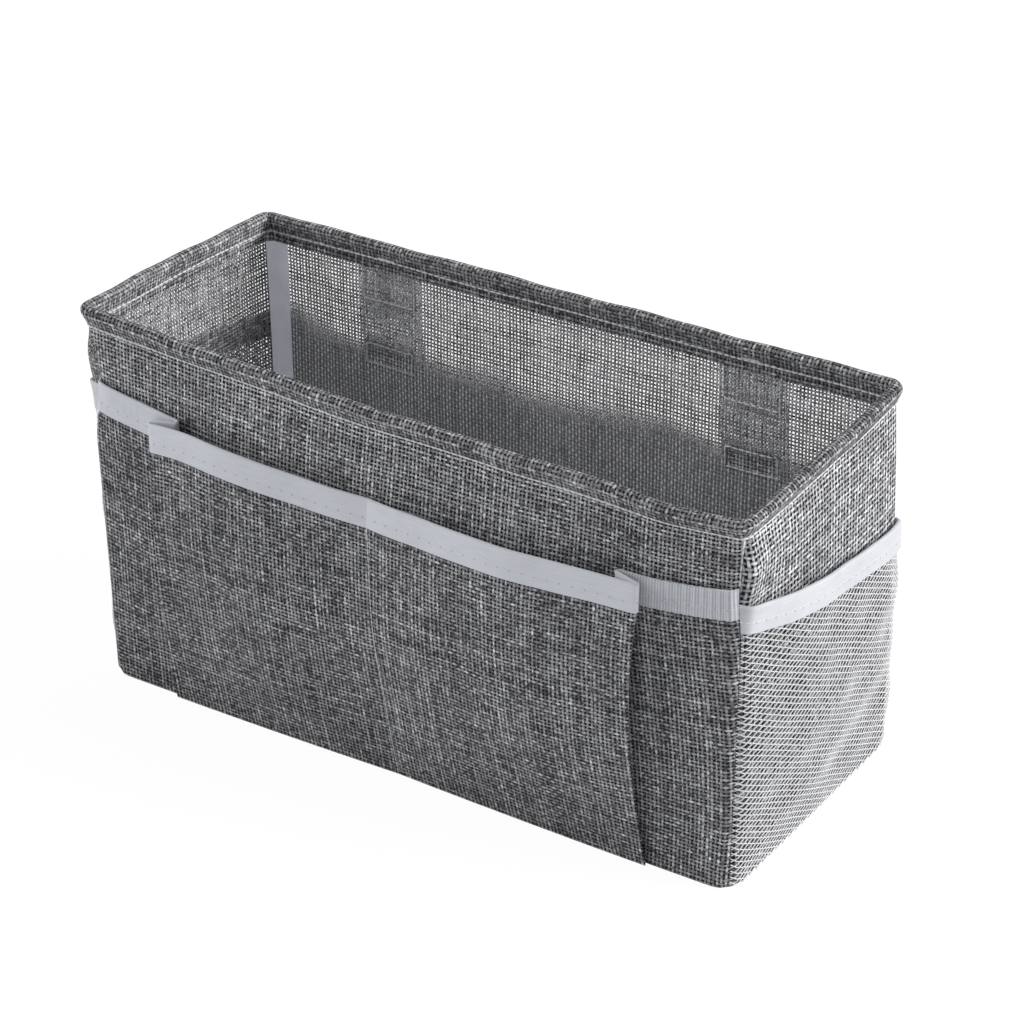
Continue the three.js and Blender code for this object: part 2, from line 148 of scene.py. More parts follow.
class Value:
    """A node's output that takes part in Python sums, each of which adds a Math node."""

    __add__, __radd__ = sum_of("ADD"), sum_of("ADD", swapped=True)
    __sub__, __rsub__ = sum_of("SUBTRACT"), sum_of("SUBTRACT", swapped=True)
    __mul__, __truediv__, __gt__ = sum_of("MULTIPLY"), sum_of("DIVIDE"), sum_of("GREATER_THAN")
    high, low = sum_of("MAXIMUM"), sum_of("MINIMUM")
    floor, fract = change_of("FLOOR"), change_of("FRACT")
    cos, root = change_of("COSINE"), change_of("SQRT")

    def __init__(self, graph: "Graph", socket: bpy.types.NodeSocket) -> None:
        self.graph = graph
        self.socket = socket

    def held(self) -> "Value":
        """The value kept between 0 and 1."""
        return self.high(0.0).low(1.0)


class Graph:
    """A node tree that is written as calls and sums."""

    def __init__(self, tree: bpy.types.NodeTree) -> None:
        self.tree = tree

    def node(
        self,
        kind: str,
        settings: Mapping[str, Any] | None = None,
        sockets: Mapping[Any, Any] | None = None,
        out: int | str = 0,
    ) -> Value:
        """Adds one node.

        Args:
            kind: The node's type.
            settings: Its properties, with a ramp's stops under "stops".
            sockets: Values or links for its inputs, by name or number.
            out: The output that is handed back.

        Returns:
            That output.
        """
        made = self.tree.nodes.new(kind)
        for key, value in (settings or {}).items():
            if key == "stops":
                self._set_stops(made.color_ramp, value)
            else:
                setattr(made, key, value)
        for key, value in (sockets or {}).items():
            self.feed(made.inputs[key], value)
        return Value(self, made.outputs[out])

    def feed(self, socket: bpy.types.NodeSocket, value: Any) -> None:
        """Links a Value to a socket, or sets the socket to a plain value."""
        if isinstance(value, Value):
            self.tree.links.new(value.socket, socket)
        elif isinstance(value, tuple) and len(value) == 3 and socket.type == "RGBA":
            socket.default_value = (*value, 1.0)
        else:
            socket.default_value = value

    @staticmethod
    def _set_stops(ramp: bpy.types.ColorRamp, stops: Sequence[tuple[float, Colour]]) -> None:
        """Gives a ramp its stops, as pairs of place and colour."""
        while len(ramp.elements) < len(stops):
            ramp.elements.new(1.0)
        for element, (place, colour) in zip(ramp.elements, stops):
            element.position = place
            element.color = (*colour, 1.0)

    def vector(self, x: Any = 0.0, y: Any = 0.0, z: Any = 0.0) -> Value:
        """Three numbers as one vector."""
        return self.node("ShaderNodeCombineXYZ", sockets={0: x, 1: y, 2: z})

    def noise(self, place: Value, scale: float = 1.0, detail: float = 1.0) -> Value:
        """Smooth noise from 0 to 1 at a place."""
        sockets = {"Vector": place, "Scale": scale, "Detail": detail}
        return self.node("ShaderNodeTexNoise", sockets=sockets)

    def drift(self, place: Value, scale: float = 1.0, detail: float = 1.0) -> Value:
        """Smooth noise from -0.5 to 0.5 at a place."""
        return self.noise(place, scale, detail) - 0.5

    def speckle(self, x: Any, y: Any = 0.0) -> Value:
        """A number from 0 to 1 that jumps from one pair of whole numbers to the next."""
        return self.node("ShaderNodeTexWhiteNoise", sockets={"Vector": self.vector(x, y)})

    def blend(self, share: Any, first: Any, second: Any) -> Value:
        """One colour turning into another.

        Args:
            share: 0 for the first colour and 1 for the second.
            first: A colour or a link.
            second: A colour or a link.

        Returns:
            The mixed colour.
        """
        return self.node("ShaderNodeMix", {"data_type": "RGBA"}, {0: share, 6: first, 7: second}, out=2)

    def ramp(self, share: Value, stops: Sequence[tuple[float, Colour]]) -> Value:
        """The colour that a share has along a row of stops."""
        return self.node("ShaderNodeValToRGB", {"stops": stops}, {"Fac": share})


class Surface(Graph):
    """A material under construction, with one shader for its whole surface."""

    def __init__(self, name: str) -> None:
        self.material = bpy.data.materials.new(name)
        self.material.use_nodes = True
        super().__init__(self.material.node_tree)
        self.tree.nodes.clear()
        self.shader = self.tree.nodes.new("ShaderNodeBsdfPrincipled")
        output = self.tree.nodes.new("ShaderNodeOutputMaterial")
        self.tree.links.new(self.shader.outputs[0], output.inputs["Surface"])

    def cloth_place(self) -> tuple[Value, Value]:
        """How far along and how far up the cut cloth a point lies, in metres."""
        place = self.node("ShaderNodeUVMap", {"uv_map": CLOTH_MAP})
        return self._split(place)

    def solid_place(self) -> Value:
        """The point's own place in the object, in metres."""
        return self.node("ShaderNodeTexCoord", out="Object")

    def _split(self, place: Value) -> tuple[Value, Value]:
        """The first two numbers of a vector."""
        parts = self.node("ShaderNodeSeparateXYZ", sockets={0: place})
        return parts, Value(self, parts.socket.node.outputs[1])

    def bump(self, height: Value, distance: float, strength: float) -> Value:
        """A normal that is tilted by a height.

        Args:
            height: The height, from 0 to 1.
            distance: What a height of 1 stands for, in metres.
            strength: How much of the tilt is used.

        Returns:
            The tilted normal.
        """
        sockets = {"Height": height, "Distance": distance, "Strength": strength}
        return self.node("ShaderNodeBump", sockets=sockets)

    def set(self, **sockets: Any) -> bpy.types.Material:
        """Sets the shader's sockets, named with _ for a space.

        Args:
            **sockets: Values or links.

        Returns:
            The finished material.
        """
        for key, value in sockets.items():
            self.feed(self.shader.inputs[key.replace("_", " ").title().replace("Ior", "IOR")], value)
        return self.material


# Finishes


LINEN_TONES = (
    (0.12, (0.1, 0.1, 0.105)),
    (0.38, (0.32, 0.32, 0.334)),
    (0.6, (0.55, 0.552, 0.57)),
    (0.9, (0.95, 0.955, 0.97)),
)


@dataclass(frozen=True)
class Linen:
    """An open plain weave of mixed grey yarns.

    Below an uneven height the holes are closed. A face that shows the painted shadow fills them with grey,
    for the floor's shade seen through the cloth, and its yarns are a tone paler and its wefts flatter
    there. Below a line that slopes along the cut, where a net lies over the cloth, its tone falls by shade:
    painted shade for the net's shade.
    Lengths are in metres. A yarn's half width, its shift and its raggedness are in pitches.
    """

    name: str
    pitch: float = 1.72 * MM
    yarn: float = 0.28
    open: bool = False
    wander: float = 0.5
    warp_scale: float = 38.0
    weft_scale: float = 46.0
    warp_key: float = 3.7
    weft_key: float = 8.1
    uneven: float = 1.0
    thick: float = 0.08
    slub: float = 0.3
    slub_rate: float = 0.36
    shift: float = 0.16
    ragged: float = 0.34
    ragged_rate: float = 1.7
    tone: float = 0.36
    own_tone: float = 0.25
    stretch: float = 0.9
    stretch_rate: float = 0.22
    fleck: float = 0.95
    fleck_rate: float = 0.8
    cloud: float = 0.3
    cloud_scale: float = 24.0
    paler: float = 0.0
    # Painted shadow: below this uneven height the holes are closed, and grey fills them for the floor's
    # shade seen through the cloth
    painted_shadow_top: float = 0.0
    painted_shadow_wander: float = 40 * MM
    painted_shadow_scale: float = 18.0
    painted_shadow_fade: float = 14 * MM
    # Whether this face shows the painted shadow's grey, with paler yarns and flatter wefts over it
    paints_shadow: bool = False
    shadow_weft_flat: float = 0.6
    shadow_yarn_paler: float = 0.3
    # Emission in the cloth's own colour: painted light, for light that comes through thin cloth
    glow: float = 0.0
    # Painted shade: how far the tone falls below the net's line, for the shade the net casts
    shade: float = 0.0
    shade_middle: float = CUT_STEP
    shade_top: float = 108 * MM
    shade_slope: float = -0.196
    shade_fade: float = 3 * MM
    rise_middle: float = 0.58
    rise_swing: float = 0.42
    edge: float = 0.02
    filled: float = 1.2
    # Painted shade: the near black of the holes and of the yarns' low parts, for the dark behind and
    # between the yarns
    hole: Colour = (0.012, 0.012, 0.014)
    # The painted shadow's grey
    painted_shadow_colour: Colour = (0.14, 0.142, 0.15)
    relief: float = 0.3 * MM

    def make(self) -> bpy.types.Material:
        """Builds the weave from two sets of yarns that pass over and under each other."""
        s = Surface(self.name)
        along, up = s.cloth_place()
        place = s.vector(along, up)
        column = along / self.pitch + s.drift(place, self.warp_scale) * self.wander
        row = up / self.pitch + s.drift(s.vector(up, along), self.weft_scale) * self.wander
        warp_cover, warp_height, warp_tone = self._yarns(s, column, row, -0.5, self.warp_key)
        weft_cover, weft_height, weft_tone = self._yarns(s, row, column, 0.5, self.weft_key)
        behind = shaded = 0.0
        # Painted shadow: the holes close below an uneven height
        if self.painted_shadow_top:
            edge = self.painted_shadow_top + s.drift(place, self.painted_shadow_scale, 2.0) * self.painted_shadow_wander
            behind = ((edge - up) / self.painted_shadow_fade).held()
        # Painted shade under the net
        if self.shade:
            line = self.shade_top + (along - self.shade_middle) * self.shade_slope
            shaded = ((line - up) / self.shade_fade).held() * self.shade
        painted_shadow_share = behind if self.paints_shadow else 0.0
        weft_height = weft_height * (1.0 - painted_shadow_share * self.shadow_weft_flat)
        height = warp_height.high(weft_height)
        tone = warp_tone + (weft_tone - warp_tone) * (weft_height > warp_height)
        tone = tone + s.drift(place, self.cloud_scale, 2.0) * self.cloud + self.paler
        colour = s.ramp((tone + painted_shadow_share * self.shadow_yarn_paler - shaded).held(), LINEN_TONES)
        cover = warp_cover.high(weft_cover) > self.edge
        # The holes' colour: painted dark shade, or the painted shadow's grey below the height
        hole = s.blend(painted_shadow_share, self.hole, self.painted_shadow_colour)
        # Low parts of the yarns turn to the holes' colour: painted shade between the yarns
        shown = s.blend((height * self.filled).held(), hole, colour)
        return s.set(
            base_color=shown,
            roughness=0.92,
            specular_ior_level=0.15,
            # The emission is painted light, for light through the thin cloth
            emission_color=shown,
            emission_strength=self.glow,
            alpha=cover.high(behind) if self.open else 1.0,
            normal=s.bump(height, self.relief, 0.7),
        )

    def _yarns(
        self, s: Surface, across: Value, along: Value, phase: float, key: float
    ) -> tuple[Value, Value, Value]:
        """One set of yarns.

        Args:
            s: The material under construction.
            across: Place across the yarns, in pitches.
            along: Place along the yarns, in pitches.
            phase: Where the first yarn is on top, in pitches.
            key: A number that tells this set's random values from the other's.

        Returns:
            How far a point lies inside its yarn, how high the yarn is there and how pale.
        """
        number = across.floor()
        thick = (s.speckle(number, key) - 0.5) * self.thick
        slub = s.drift(s.vector(number * key, along * self.slub_rate, key)) * self.slub
        shift = (s.speckle(number, key + 29.0) - 0.5) * self.shift
        ragged = s.drift(s.vector(across, along, key), self.ragged_rate, 2.0) * (self.ragged * self.uneven)
        width = self.yarn + (thick + slub) * self.uneven
        off = (across.fract() - 0.5 + shift + ragged) / width
        cover = (1.0 - off * off).high(0.0)
        rise = ((along + number + phase) * math.pi).cos()
        stretch = s.drift(s.vector(number * 5.3, along * self.stretch_rate, key)) * self.stretch
        fleck = s.drift(s.vector(number * 9.1, along * self.fleck_rate, key)) * self.fleck
        tone = s.speckle(number, key + 13.0) * self.own_tone + stretch + fleck + self.tone
        return cover, cover.root() * (self.rise_middle + rise * self.rise_swing), tone


@dataclass(frozen=True)
class Elastic:
    """Pale folded elastic with rows of knitting along it, and ribs across it where it is gathered, which is
    also painted a tone darker as shade.
    """

    name: str = "elastic"
    colour: Colour = (0.68, 0.7, 0.745)
    rib: float = 1.15 * MM
    course: float = 1.1 * MM
    gathered_from: float = 70 * MM
    gather_run: float = 4 * MM
    pin_pitch: float = 5.2 * MM
    pin_row: float = 4.2 * MM
    pin: float = 0.4 * MM

    def make(self) -> bpy.types.Material:
        """Builds the tape's rows, faint streaks, and ribs where it is gathered, with painted shade there.
        """
        s = Surface(self.name)
        along, up = s.cloth_place()
        gathered_and_shaded = ((along - self.gathered_from) / self.gather_run).held()
        rib = (along * (2 * math.pi / self.rib)).cos() * gathered_and_shaded
        course = (up * (2 * math.pi / self.course)).cos()
        streak = s.drift(s.vector(along * 0.12, up), 900.0, 2.0)
        patch = s.drift(s.vector(along, up), 45.0, 3.0)
        beside = ((along / self.pin_pitch).fract() - 0.5) * self.pin_pitch
        above = up - self.pin_row
        pierced = 1.0 - (beside * beside + above * above > self.pin**2)
        knit = rib * 0.4 + course * 0.06 + streak * 0.4 + patch * 0.4
        # Where gathered, the tape is also a tone darker: painted shade for the recess beside the pleat
        shade = (knit + 0.7 - gathered_and_shaded * 0.35 - pierced * 0.9).held()
        pale = tuple(min(1.0, c * 1.08) for c in self.colour)
        dull = tuple(c * 0.66 for c in self.colour)
        return s.set(
            base_color=s.blend(shade, dull, pale),
            roughness=0.78,
            specular_ior_level=0.25,
            normal=s.bump(shade, 0.2 * MM, 0.6),
        )


@dataclass(frozen=True)
class Yarn:
    """Thread: the net's strands and the sewing."""

    name: str
    colour: Colour

    def make(self) -> bpy.types.Material:
        """Builds the thread's fuzz and its soft patches."""
        s = Surface(self.name)
        place = s.solid_place()
        fuzz = s.noise(place, 1500.0, 2.0)
        patch = s.noise(place, 120.0, 1.0)
        shade = (fuzz * 0.6 + patch * 0.6 - 0.1).held()
        dull = tuple(c * 0.78 for c in self.colour)
        return s.set(
            base_color=s.blend(shade, dull, self.colour),
            roughness=0.75,
            specular_ior_level=0.25,
            normal=s.bump(fuzz, 0.12 * MM, 0.4),
        )


@dataclass(frozen=True)
class Twill:
    """Pale seam tape with fine slanted ribs, and a faint glow that is painted light."""

    name: str = "seam_tape"
    colour: Colour = (0.88, 0.9, 0.98)
    rib: float = 0.8 * MM
    # A faint glow in the tape's own colour: painted light that makes it look lit
    glow: float = 0.12

    def make(self) -> bpy.types.Material:
        """Builds the slanted ribs and a soft mottle."""
        s = Surface(self.name)
        along, up = s.cloth_place()
        rib = ((along + up) * (2 * math.pi / self.rib)).cos() * 0.5 + 0.5
        mottle = s.noise(s.vector(along, up), 110.0, 3.0)
        shade = (rib * 0.25 + mottle * 0.9 - 0.15).held()
        dull = tuple(c * 0.8 for c in self.colour)
        shown = s.blend(shade, dull, self.colour)
        return s.set(
            base_color=shown,
            emission_color=shown,
            emission_strength=self.glow,
            roughness=0.85,
            specular_ior_level=0.2,
            normal=s.bump(rib, 0.1 * MM, 0.4),
        )


@dataclass(frozen=True)
class Gripping:
    """Hook or loop tape: rows of small hooks, or a fuzz of loops."""

    name: str
    hooked: bool
    colour: Colour = (0.6, 0.61, 0.63)
    hook_pitch: float = 1.4 * MM

    def make(self) -> bpy.types.Material:
        """Builds the rows of hooks or the loops."""
        s = Surface(self.name)
        along, up = s.cloth_place()
        fuzz = s.noise(s.vector(along, up), 900.0, 4.0)
        if self.hooked:
            step = 2 * math.pi / self.hook_pitch
            relief = ((along * step).cos() * 0.5 + 0.5) * ((up * step).cos() * 0.5 + 0.5)
        else:
            relief = fuzz
        shade = (relief * 0.7 + fuzz * 0.3).held()
        dull = tuple(c * 0.5 for c in self.colour)
        return s.set(
            base_color=s.blend(shade, dull, tuple(c * 1.5 for c in self.colour)),
            roughness=0.88,
            specular_ior_level=0.2,
            normal=s.bump(relief, 0.5 * MM, 0.9),
        )


@dataclass(frozen=True)
class DrawnWire:
    """Bright drawn steel."""

    name: str = "drawn_wire"

    def make(self) -> bpy.types.Material:
        """Builds the wire's dulled patches."""
        s = Surface(self.name)
        mark = s.noise(s.solid_place(), 700.0, 3.0)
        return s.set(
            base_color=s.blend(mark, (0.42, 0.43, 0.45), (0.62, 0.63, 0.65)),
            roughness=mark * 0.25 + 0.25,
            metallic=1.0,
        )


# Shape of the tray


def mix(first: Any, second: Any, share: Any) -> Any:
    """A value between two others."""
    return first + (second - first) * share


def ripple_sum(waves: Waves, along: Grid, up: Grid, key: float) -> Grid:
    """The sum of some waves on a wall.

    Args:
        waves: The waves.
        along: Distances along the wall.
        up: Heights.
        key: A number that tells one wall's waves from another's.

    Returns:
        The sum at each point, in the waves' own sizes.
    """
    total = 0.0
    for size, run, rise, shift in waves:
        total = total + size * np.sin(along * run + up * rise + shift * key)
    return total


@dataclass(frozen=True)
class TrayShape:
    """Sizes of the tray and the rule that places a point on one of its four walls. Sizes in metres."""

    centre: float
    rim_length: float = 302 * MM
    rim_depth: float = 125 * MM
    height: float = 163 * MM
    rim_corner: float = 4 * MM
    base_corner: float = 5 * MM
    base_tuck: float = 2.5 * MM
    rim_twist: float = 1.8 * MM
    overhang: float = 2.6 * MM
    front_bow: float = 10.5 * MM
    end_bow: float = 2.5 * MM
    bow_turn: float = 0.88
    ripple: float = 0.45 * MM
    ripple_key: float = 1.7
    ripples: Waves = ((1.0, 95, 21, 1.0), (0.7, 57, -63, 2.1), (0.5, 24, 118, 1.0), (0.3, 230, -40, 1.0))
    seam_dip: float = 0.8 * MM
    seam_width: float = 1.7 * MM
    dip_top: float = 154 * MM
    dip_fade: float = 6 * MM
    puff: float = 4.2 * MM
    puff_edge: float = 2 * MM
    puff_run: float = 20 * MM
    left_pinch: float = 6 * MM
    right_pinch: float = 2 * MM
    pinch_width: float = 16 * MM
    pinch_depth: float = 2.5 * MM
    pinch_top: float = 156 * MM
    pinch_most: float = 132 * MM
    pinch_foot: float = 106 * MM
    puff_most: float = 140 * MM
    puff_foot: float = 118 * MM
    corner_splay: float = 2.2 * MM
    corner_lift: float = 2.6 * MM
    rim_dent: float = 2.6 * MM
    dent_at: float = 0.78
    dent_width: float = 0.16
    right_full: float = 1.4 * MM
    back_full: float = 2 * MM
    heel: float = 6 * MM
    rim_tuck: float = 1.6 * MM
    foot_round: float = 4 * MM
    foot: float = 0.3 * MM

    def half(self, side: Side, up: Grid) -> Grid:
        """Half a wall's width at a height."""
        return self._half_length(up) if side in LONG_SIDES else self._half_depth(up)

    def reach(self, side: Side, up: Grid) -> Grid:
        """A wall's distance from the middle of the tray at a height."""
        return self._half_depth(up) if side in LONG_SIDES else self._half_length(up)

    def _half_length(self, up: Grid) -> Grid:
        """Half the tray's length at a height."""
        return self.rim_length / 2 - self.overhang - self.base_tuck * (1 - up / self.height)

    def _half_depth(self, up: Grid) -> Grid:
        """Half the tray's depth, the same at every height."""
        return self.rim_depth / 2 - self.overhang + 0 * up

    def corner_radius(self, up: Grid) -> Grid:
        """Radius of the upright corners at a height."""
        return self.base_corner + (self.rim_corner - self.base_corner) * up / self.height

    def straight_end(self, side: Side, up: Grid) -> Grid:
        """Where a wall begins to turn into its corner."""
        return self.half(side, up) - self.corner_radius(up)

    def seam_end(self, side: Side, up: Grid) -> Grid:
        """Where a wall meets the next one, in the middle of the corner."""
        return self.straight_end(side, up) + self.corner_radius(up) * math.pi / 4

    def bow(self, side: Side, along: Grid, up: Grid) -> Grid:
        """How far a wall bows outwards."""
        most = {Side.FRONT: self.front_bow, Side.BACK: 0.0}.get(side, self.end_bow)
        across = 1 - (along / self.seam_end(side, up)) ** 2
        return most * np.sin(self.bow_turn * math.pi * np.clip(up / self.height, 0, 1)) * across

    def drape(self, side: Side, along: Grid, up: Grid) -> Grid:
        """Soft unevenness of a wall's cloth, dying out at its seams, its rim and its foot."""
        share = along / self.seam_end(side, up)
        level = np.clip(up / self.height, 0, 1)
        calm = np.clip(1 - share**6, 0, 1) * np.sin(math.pi * level) ** 0.7
        key = self.ripple_key * side.value
        return self.ripple * calm * ripple_sum(self.ripples, along, up, key)

    def valley(self, side: Side, along: Grid, up: Grid) -> Grid:
        """The dip at the corner seams, their rounded foot, and the end walls' puff beside the front."""
        gap = self.seam_end(side, up) - np.abs(along)
        low = np.clip((self.dip_top - up) / self.dip_fade, 0, 1)
        dip = -self.seam_dip * low * np.exp(-((gap / self.seam_width) ** 2))
        below = np.clip(self.foot_round - up, 0, self.foot_round)
        turned = self.foot_round - np.sqrt(self.foot_round**2 - below**2)
        dip = dip - turned * np.exp(-((gap / self.foot_round) ** 2))
        if side in LONG_SIDES:
            return dip
        beside_front = (along < 0) if side is Side.RIGHT else (along > 0)
        swollen = (1 - np.exp(-((gap / self.puff_edge) ** 2))) * np.exp(-gap / self.puff_run)
        return dip + self.puff * self.swell(up, self.puff_foot, self.puff_most) * swollen * beside_front

    def swell(self, up: Grid, foot: float, most: float) -> Grid:
        """A smooth share that is 0 at a foot, 1 at the height named most and 0 again below the hem."""
        level = np.interp(up, (foot, most, self.pinch_top), (0, 1, 0))
        return level**2 * (3 - 2 * level)

    def settled(self, x: Grid, y: Grid, up: Grid) -> Grid:
        """Points with the unevenness of the sewn tray.

        Args:
            x: Distances along the tray.
            y: Distances across it from its middle.
            up: Heights.

        Returns:
            The points, drawn in at the front corners, fuller towards the back corners, with an uneven rim.
        """
        half, deep = self.rim_length / 2, self.rim_depth / 2
        level = np.clip(up / self.height, 0, 1)
        left, right = np.clip(-x / half, 0, 1), np.clip(x / half, 0, 1)
        front = np.clip(0.5 - y / self.rim_depth, 0, 1)
        end = np.clip(1 - (half - self.overhang - np.abs(x)) / self.pinch_width, 0, 1) ** 2
        behind = np.maximum(y + deep - self.overhang, 0)
        pinch = np.where(x < 0, self.left_pinch, self.right_pinch)
        pinch = pinch * self.swell(up, self.pinch_foot, self.pinch_most)
        drawn = pinch * end * np.exp(-((behind / self.pinch_depth) ** 2))
        full = self.right_full * right * mix(1 - level**6, 1 - level, front)
        tucked = self.rim_tuck * right * (1 - front) * level**3
        wide = x - np.sign(x) * drawn + full - tucked - self.corner_splay * left * front * level**3
        heel = self.heel * right**4 * (1 - level)
        across = y + (self.back_full * (x / half) ** 4 + heel) * (1 - front) * (1 - level**6)
        twist = self.rim_twist * (x / half) * (y / deep) * level
        dent = self.rim_dent * np.exp(-(((x / half - self.dent_at) / self.dent_width) ** 2)) * front**2
        rise = twist + (self.corner_lift * left * front - dent) * level**3
        return np.stack([wide, across + self.centre, up + rise], axis=-1)

    def place(self, side: Side, along: Any, out: Any, up: Any) -> Grid:
        """Points in the row frame.

        Args:
            side: The wall.
            along: Distances along the wall from its middle.
            out: Distances out of the wall's outer face.
            up: Heights.

        Returns:
            An array of points, with three numbers in its last place.
        """
        along, out, up = np.broadcast_arrays(*(np.asarray(v, float) for v in (along, out, up)))
        radius = self.corner_radius(up)
        straight = self.straight_end(side, up)
        angle = np.maximum(0, np.abs(along) - straight) / radius
        soft = self.bow(side, along, up) + self.drape(side, along, up) + self.valley(side, along, up)
        away = radius + out + soft
        flat = np.minimum(np.abs(along), straight)
        sideways = np.sign(along) * (flat + away * np.sin(angle))
        forward = self.reach(side, up) - radius + away * np.cos(angle)
        turn = side.value * math.pi / 2
        x = sideways * math.cos(turn) + forward * math.sin(turn)
        y = sideways * math.sin(turn) - forward * math.cos(turn)
        return self.settled(x, y, up)

    def columns(self, side: Side, steps: int, up: Grid, trim: float = 0.0) -> Grid:
        """Distances along a wall for each height, close together round the corners.

        Args:
            side: The wall.
            steps: Steps between the corners.
            up: Heights, one for each row.
            trim: What is left free at each end.

        Returns:
            Rows by columns of distances.
        """
        shares = np.linspace(-1, 1, steps + 1)[None, :]
        bend = np.linspace(0, 1, CORNER_STEPS + 1)[None, 1:]
        up = np.asarray(up, float)[:, None]
        straight = self.straight_end(side, up)
        corner = straight + (self.seam_end(side, up) - trim - straight) * bend
        return np.concatenate([-corner[:, ::-1], straight * shares, corner], axis=1)


# Making meshes


def lengths(points: Grid, axis: int) -> Grid:
    """Distance travelled along one axis of a grid of points."""
    steps = np.linalg.norm(np.diff(points, axis=axis), axis=-1)
    total = np.cumsum(steps, axis=axis)
    pad = [(0, 0), (0, 0)]
    pad[axis] = (1, 0)
    return np.pad(total, pad)


def flat_cut(across: Grid, down: Grid) -> Grid:
    """Places on the flat cloth, from distances across it for each point and down it for each row."""
    return np.stack([across, np.broadcast_to(down[:, None], across.shape)], axis=-1)


def new_object(name: str, mesh: bpy.types.Mesh) -> bpy.types.Object:
    """An object at the origin with this mesh, in the scene."""
    made = bpy.data.objects.new(name, mesh)
    bpy.context.scene.collection.objects.link(made)
    return made


def closed_sheet(
    name: str,
    middle: Grid,
    cut: Grid,
    thickness: float,
    material: bpy.types.Material,
    inside: bpy.types.Material | None = None,
) -> bpy.types.Object:
    """A closed sheet of even thickness about a grid of points.

    Args:
        name: The piece's name.
        middle: Rows by columns of points, with outwards to the left of the way from column to column.
        cut: Rows by columns of places on the flat cloth, in metres.
        thickness: The sheet's thickness.
        material: Its material.
        inside: The material of its inner face, where that differs.

    Returns:
        The piece, whose second material is the inner face's.
    """
    rows, columns, _ = middle.shape
    normal = np.cross(np.gradient(middle, axis=1), np.gradient(middle, axis=0))
    normal /= np.maximum(np.linalg.norm(normal, axis=-1, keepdims=True), 1e-12)
    half = normal * thickness / 2
    points = np.concatenate([(middle + half).reshape(-1, 3), (middle - half).reshape(-1, 3)])
    count = rows * columns
    index = np.arange(count).reshape(rows, columns)
    quads = np.stack([index[:-1, :-1], index[:-1, 1:], index[1:, 1:], index[1:, :-1]], axis=-1)
    quads = quads.reshape(-1, 4)
    ring = np.concatenate([index[0, :-1], index[:-1, -1], index[-1, :0:-1], index[:0:-1, 0]])
    after = np.roll(ring, -1)
    edge = np.stack([after, ring, ring + count, after + count], axis=-1)
    faces = np.concatenate([quads, quads[:, ::-1] + count, edge])
    mesh = bpy.data.meshes.new(name)
    mesh.from_pydata(points.tolist(), [], faces.tolist())
    flat = np.concatenate([cut.reshape(-1, 2)] * 2)
    corners = np.empty(len(mesh.loops), dtype=np.int32)
    mesh.loops.foreach_get("vertex_index", corners)
    layer = mesh.uv_layers.new(name=CLOTH_MAP)
    layer.uv.foreach_set("vector", flat[corners].astype(np.float32).ravel())
    mesh.polygons.foreach_set("use_smooth", np.ones(len(mesh.polygons), bool))
    mesh.set_sharp_from_angle(angle=SHARP_ANGLE)
    mesh.materials.append(material)
    mesh.materials.append(inside or material)
    slots = np.zeros(len(faces), np.int32)
    slots[len(quads) : 2 * len(quads)] = 1
    mesh.polygons.foreach_set("material_index", slots)
    mesh.validate()
    return new_object(name, mesh)


def chains(name: str, lines: Sequence[Grid]) -> bpy.types.Object:
    """A piece of bare edges, one chain for each line of points, for a Geometry Nodes tree to dress."""
    points = np.concatenate(lines)
    edges = []
    start = 0
    for line in lines:
        edges.extend((start + i, start + i + 1) for i in range(len(line) - 1))
        start += len(line)
    mesh = bpy.data.meshes.new(name)
    mesh.from_pydata(points.tolist(), edges, [])
    return new_object(name, mesh)


# Geometry Nodes trees


class Pattern(Graph):
    """A Geometry Nodes tree with named inputs that dresses chains of edges."""

    def __init__(self, name: str) -> None:
        tree = bpy.data.node_groups.new(name, "GeometryNodeTree")
        super().__init__(tree)
        tree.interface.new_socket("Geometry", in_out="INPUT", socket_type="NodeSocketGeometry")
        tree.interface.new_socket("Geometry", in_out="OUTPUT", socket_type="NodeSocketGeometry")
        self.names: dict[str, str] = {}
        self._start: bpy.types.Node | None = None

    def input(self, name: str, kind: str) -> None:
        """Adds a named input to the tree."""
        socket = self.tree.interface.new_socket(name, in_out="INPUT", socket_type=kind)
        self.names[name] = socket.identifier

    def given(self, name: str) -> Value:
        """The value of a named input inside the tree."""
        if self._start is None:
            self._start = self.tree.nodes.new("NodeGroupInput")
        return Value(self, self._start.outputs[name])

    def end(self, geometry: Value) -> None:
        """Closes the tree with smooth faces, real meshes and the given material."""
        smooth = self.node("GeometryNodeSetShadeSmooth", sockets={"Geometry": geometry})
        real = self.node("GeometryNodeRealizeInstances", sockets={"Geometry": smooth})
        dressed = {"Geometry": real, "Material": self.given("Material")}
        done = self.node("GeometryNodeSetMaterial", sockets=dressed)
        output = self.tree.nodes.new("NodeGroupOutput")
        self.tree.links.new(done.socket, output.inputs[0])

    def dress(self, piece: bpy.types.Object, **values: Any) -> None:
        """Runs the tree on a piece and keeps the result as its plain mesh.

        Args:
            piece: A piece of bare chains.
            **values: The tree's inputs, named with _ for a space.
        """
        modifier = piece.modifiers.new(self.tree.name, "NODES")
        modifier.node_group = self.tree
        for name, value in values.items():
            modifier[self.names[name.replace("_", " ").capitalize()]] = value
        graph = bpy.context.evaluated_depsgraph_get()
        mesh = bpy.data.meshes.new_from_object(piece.evaluated_get(graph))
        bare = piece.data
        piece.modifiers.clear()
        piece.data = mesh
        bpy.data.meshes.remove(bare)


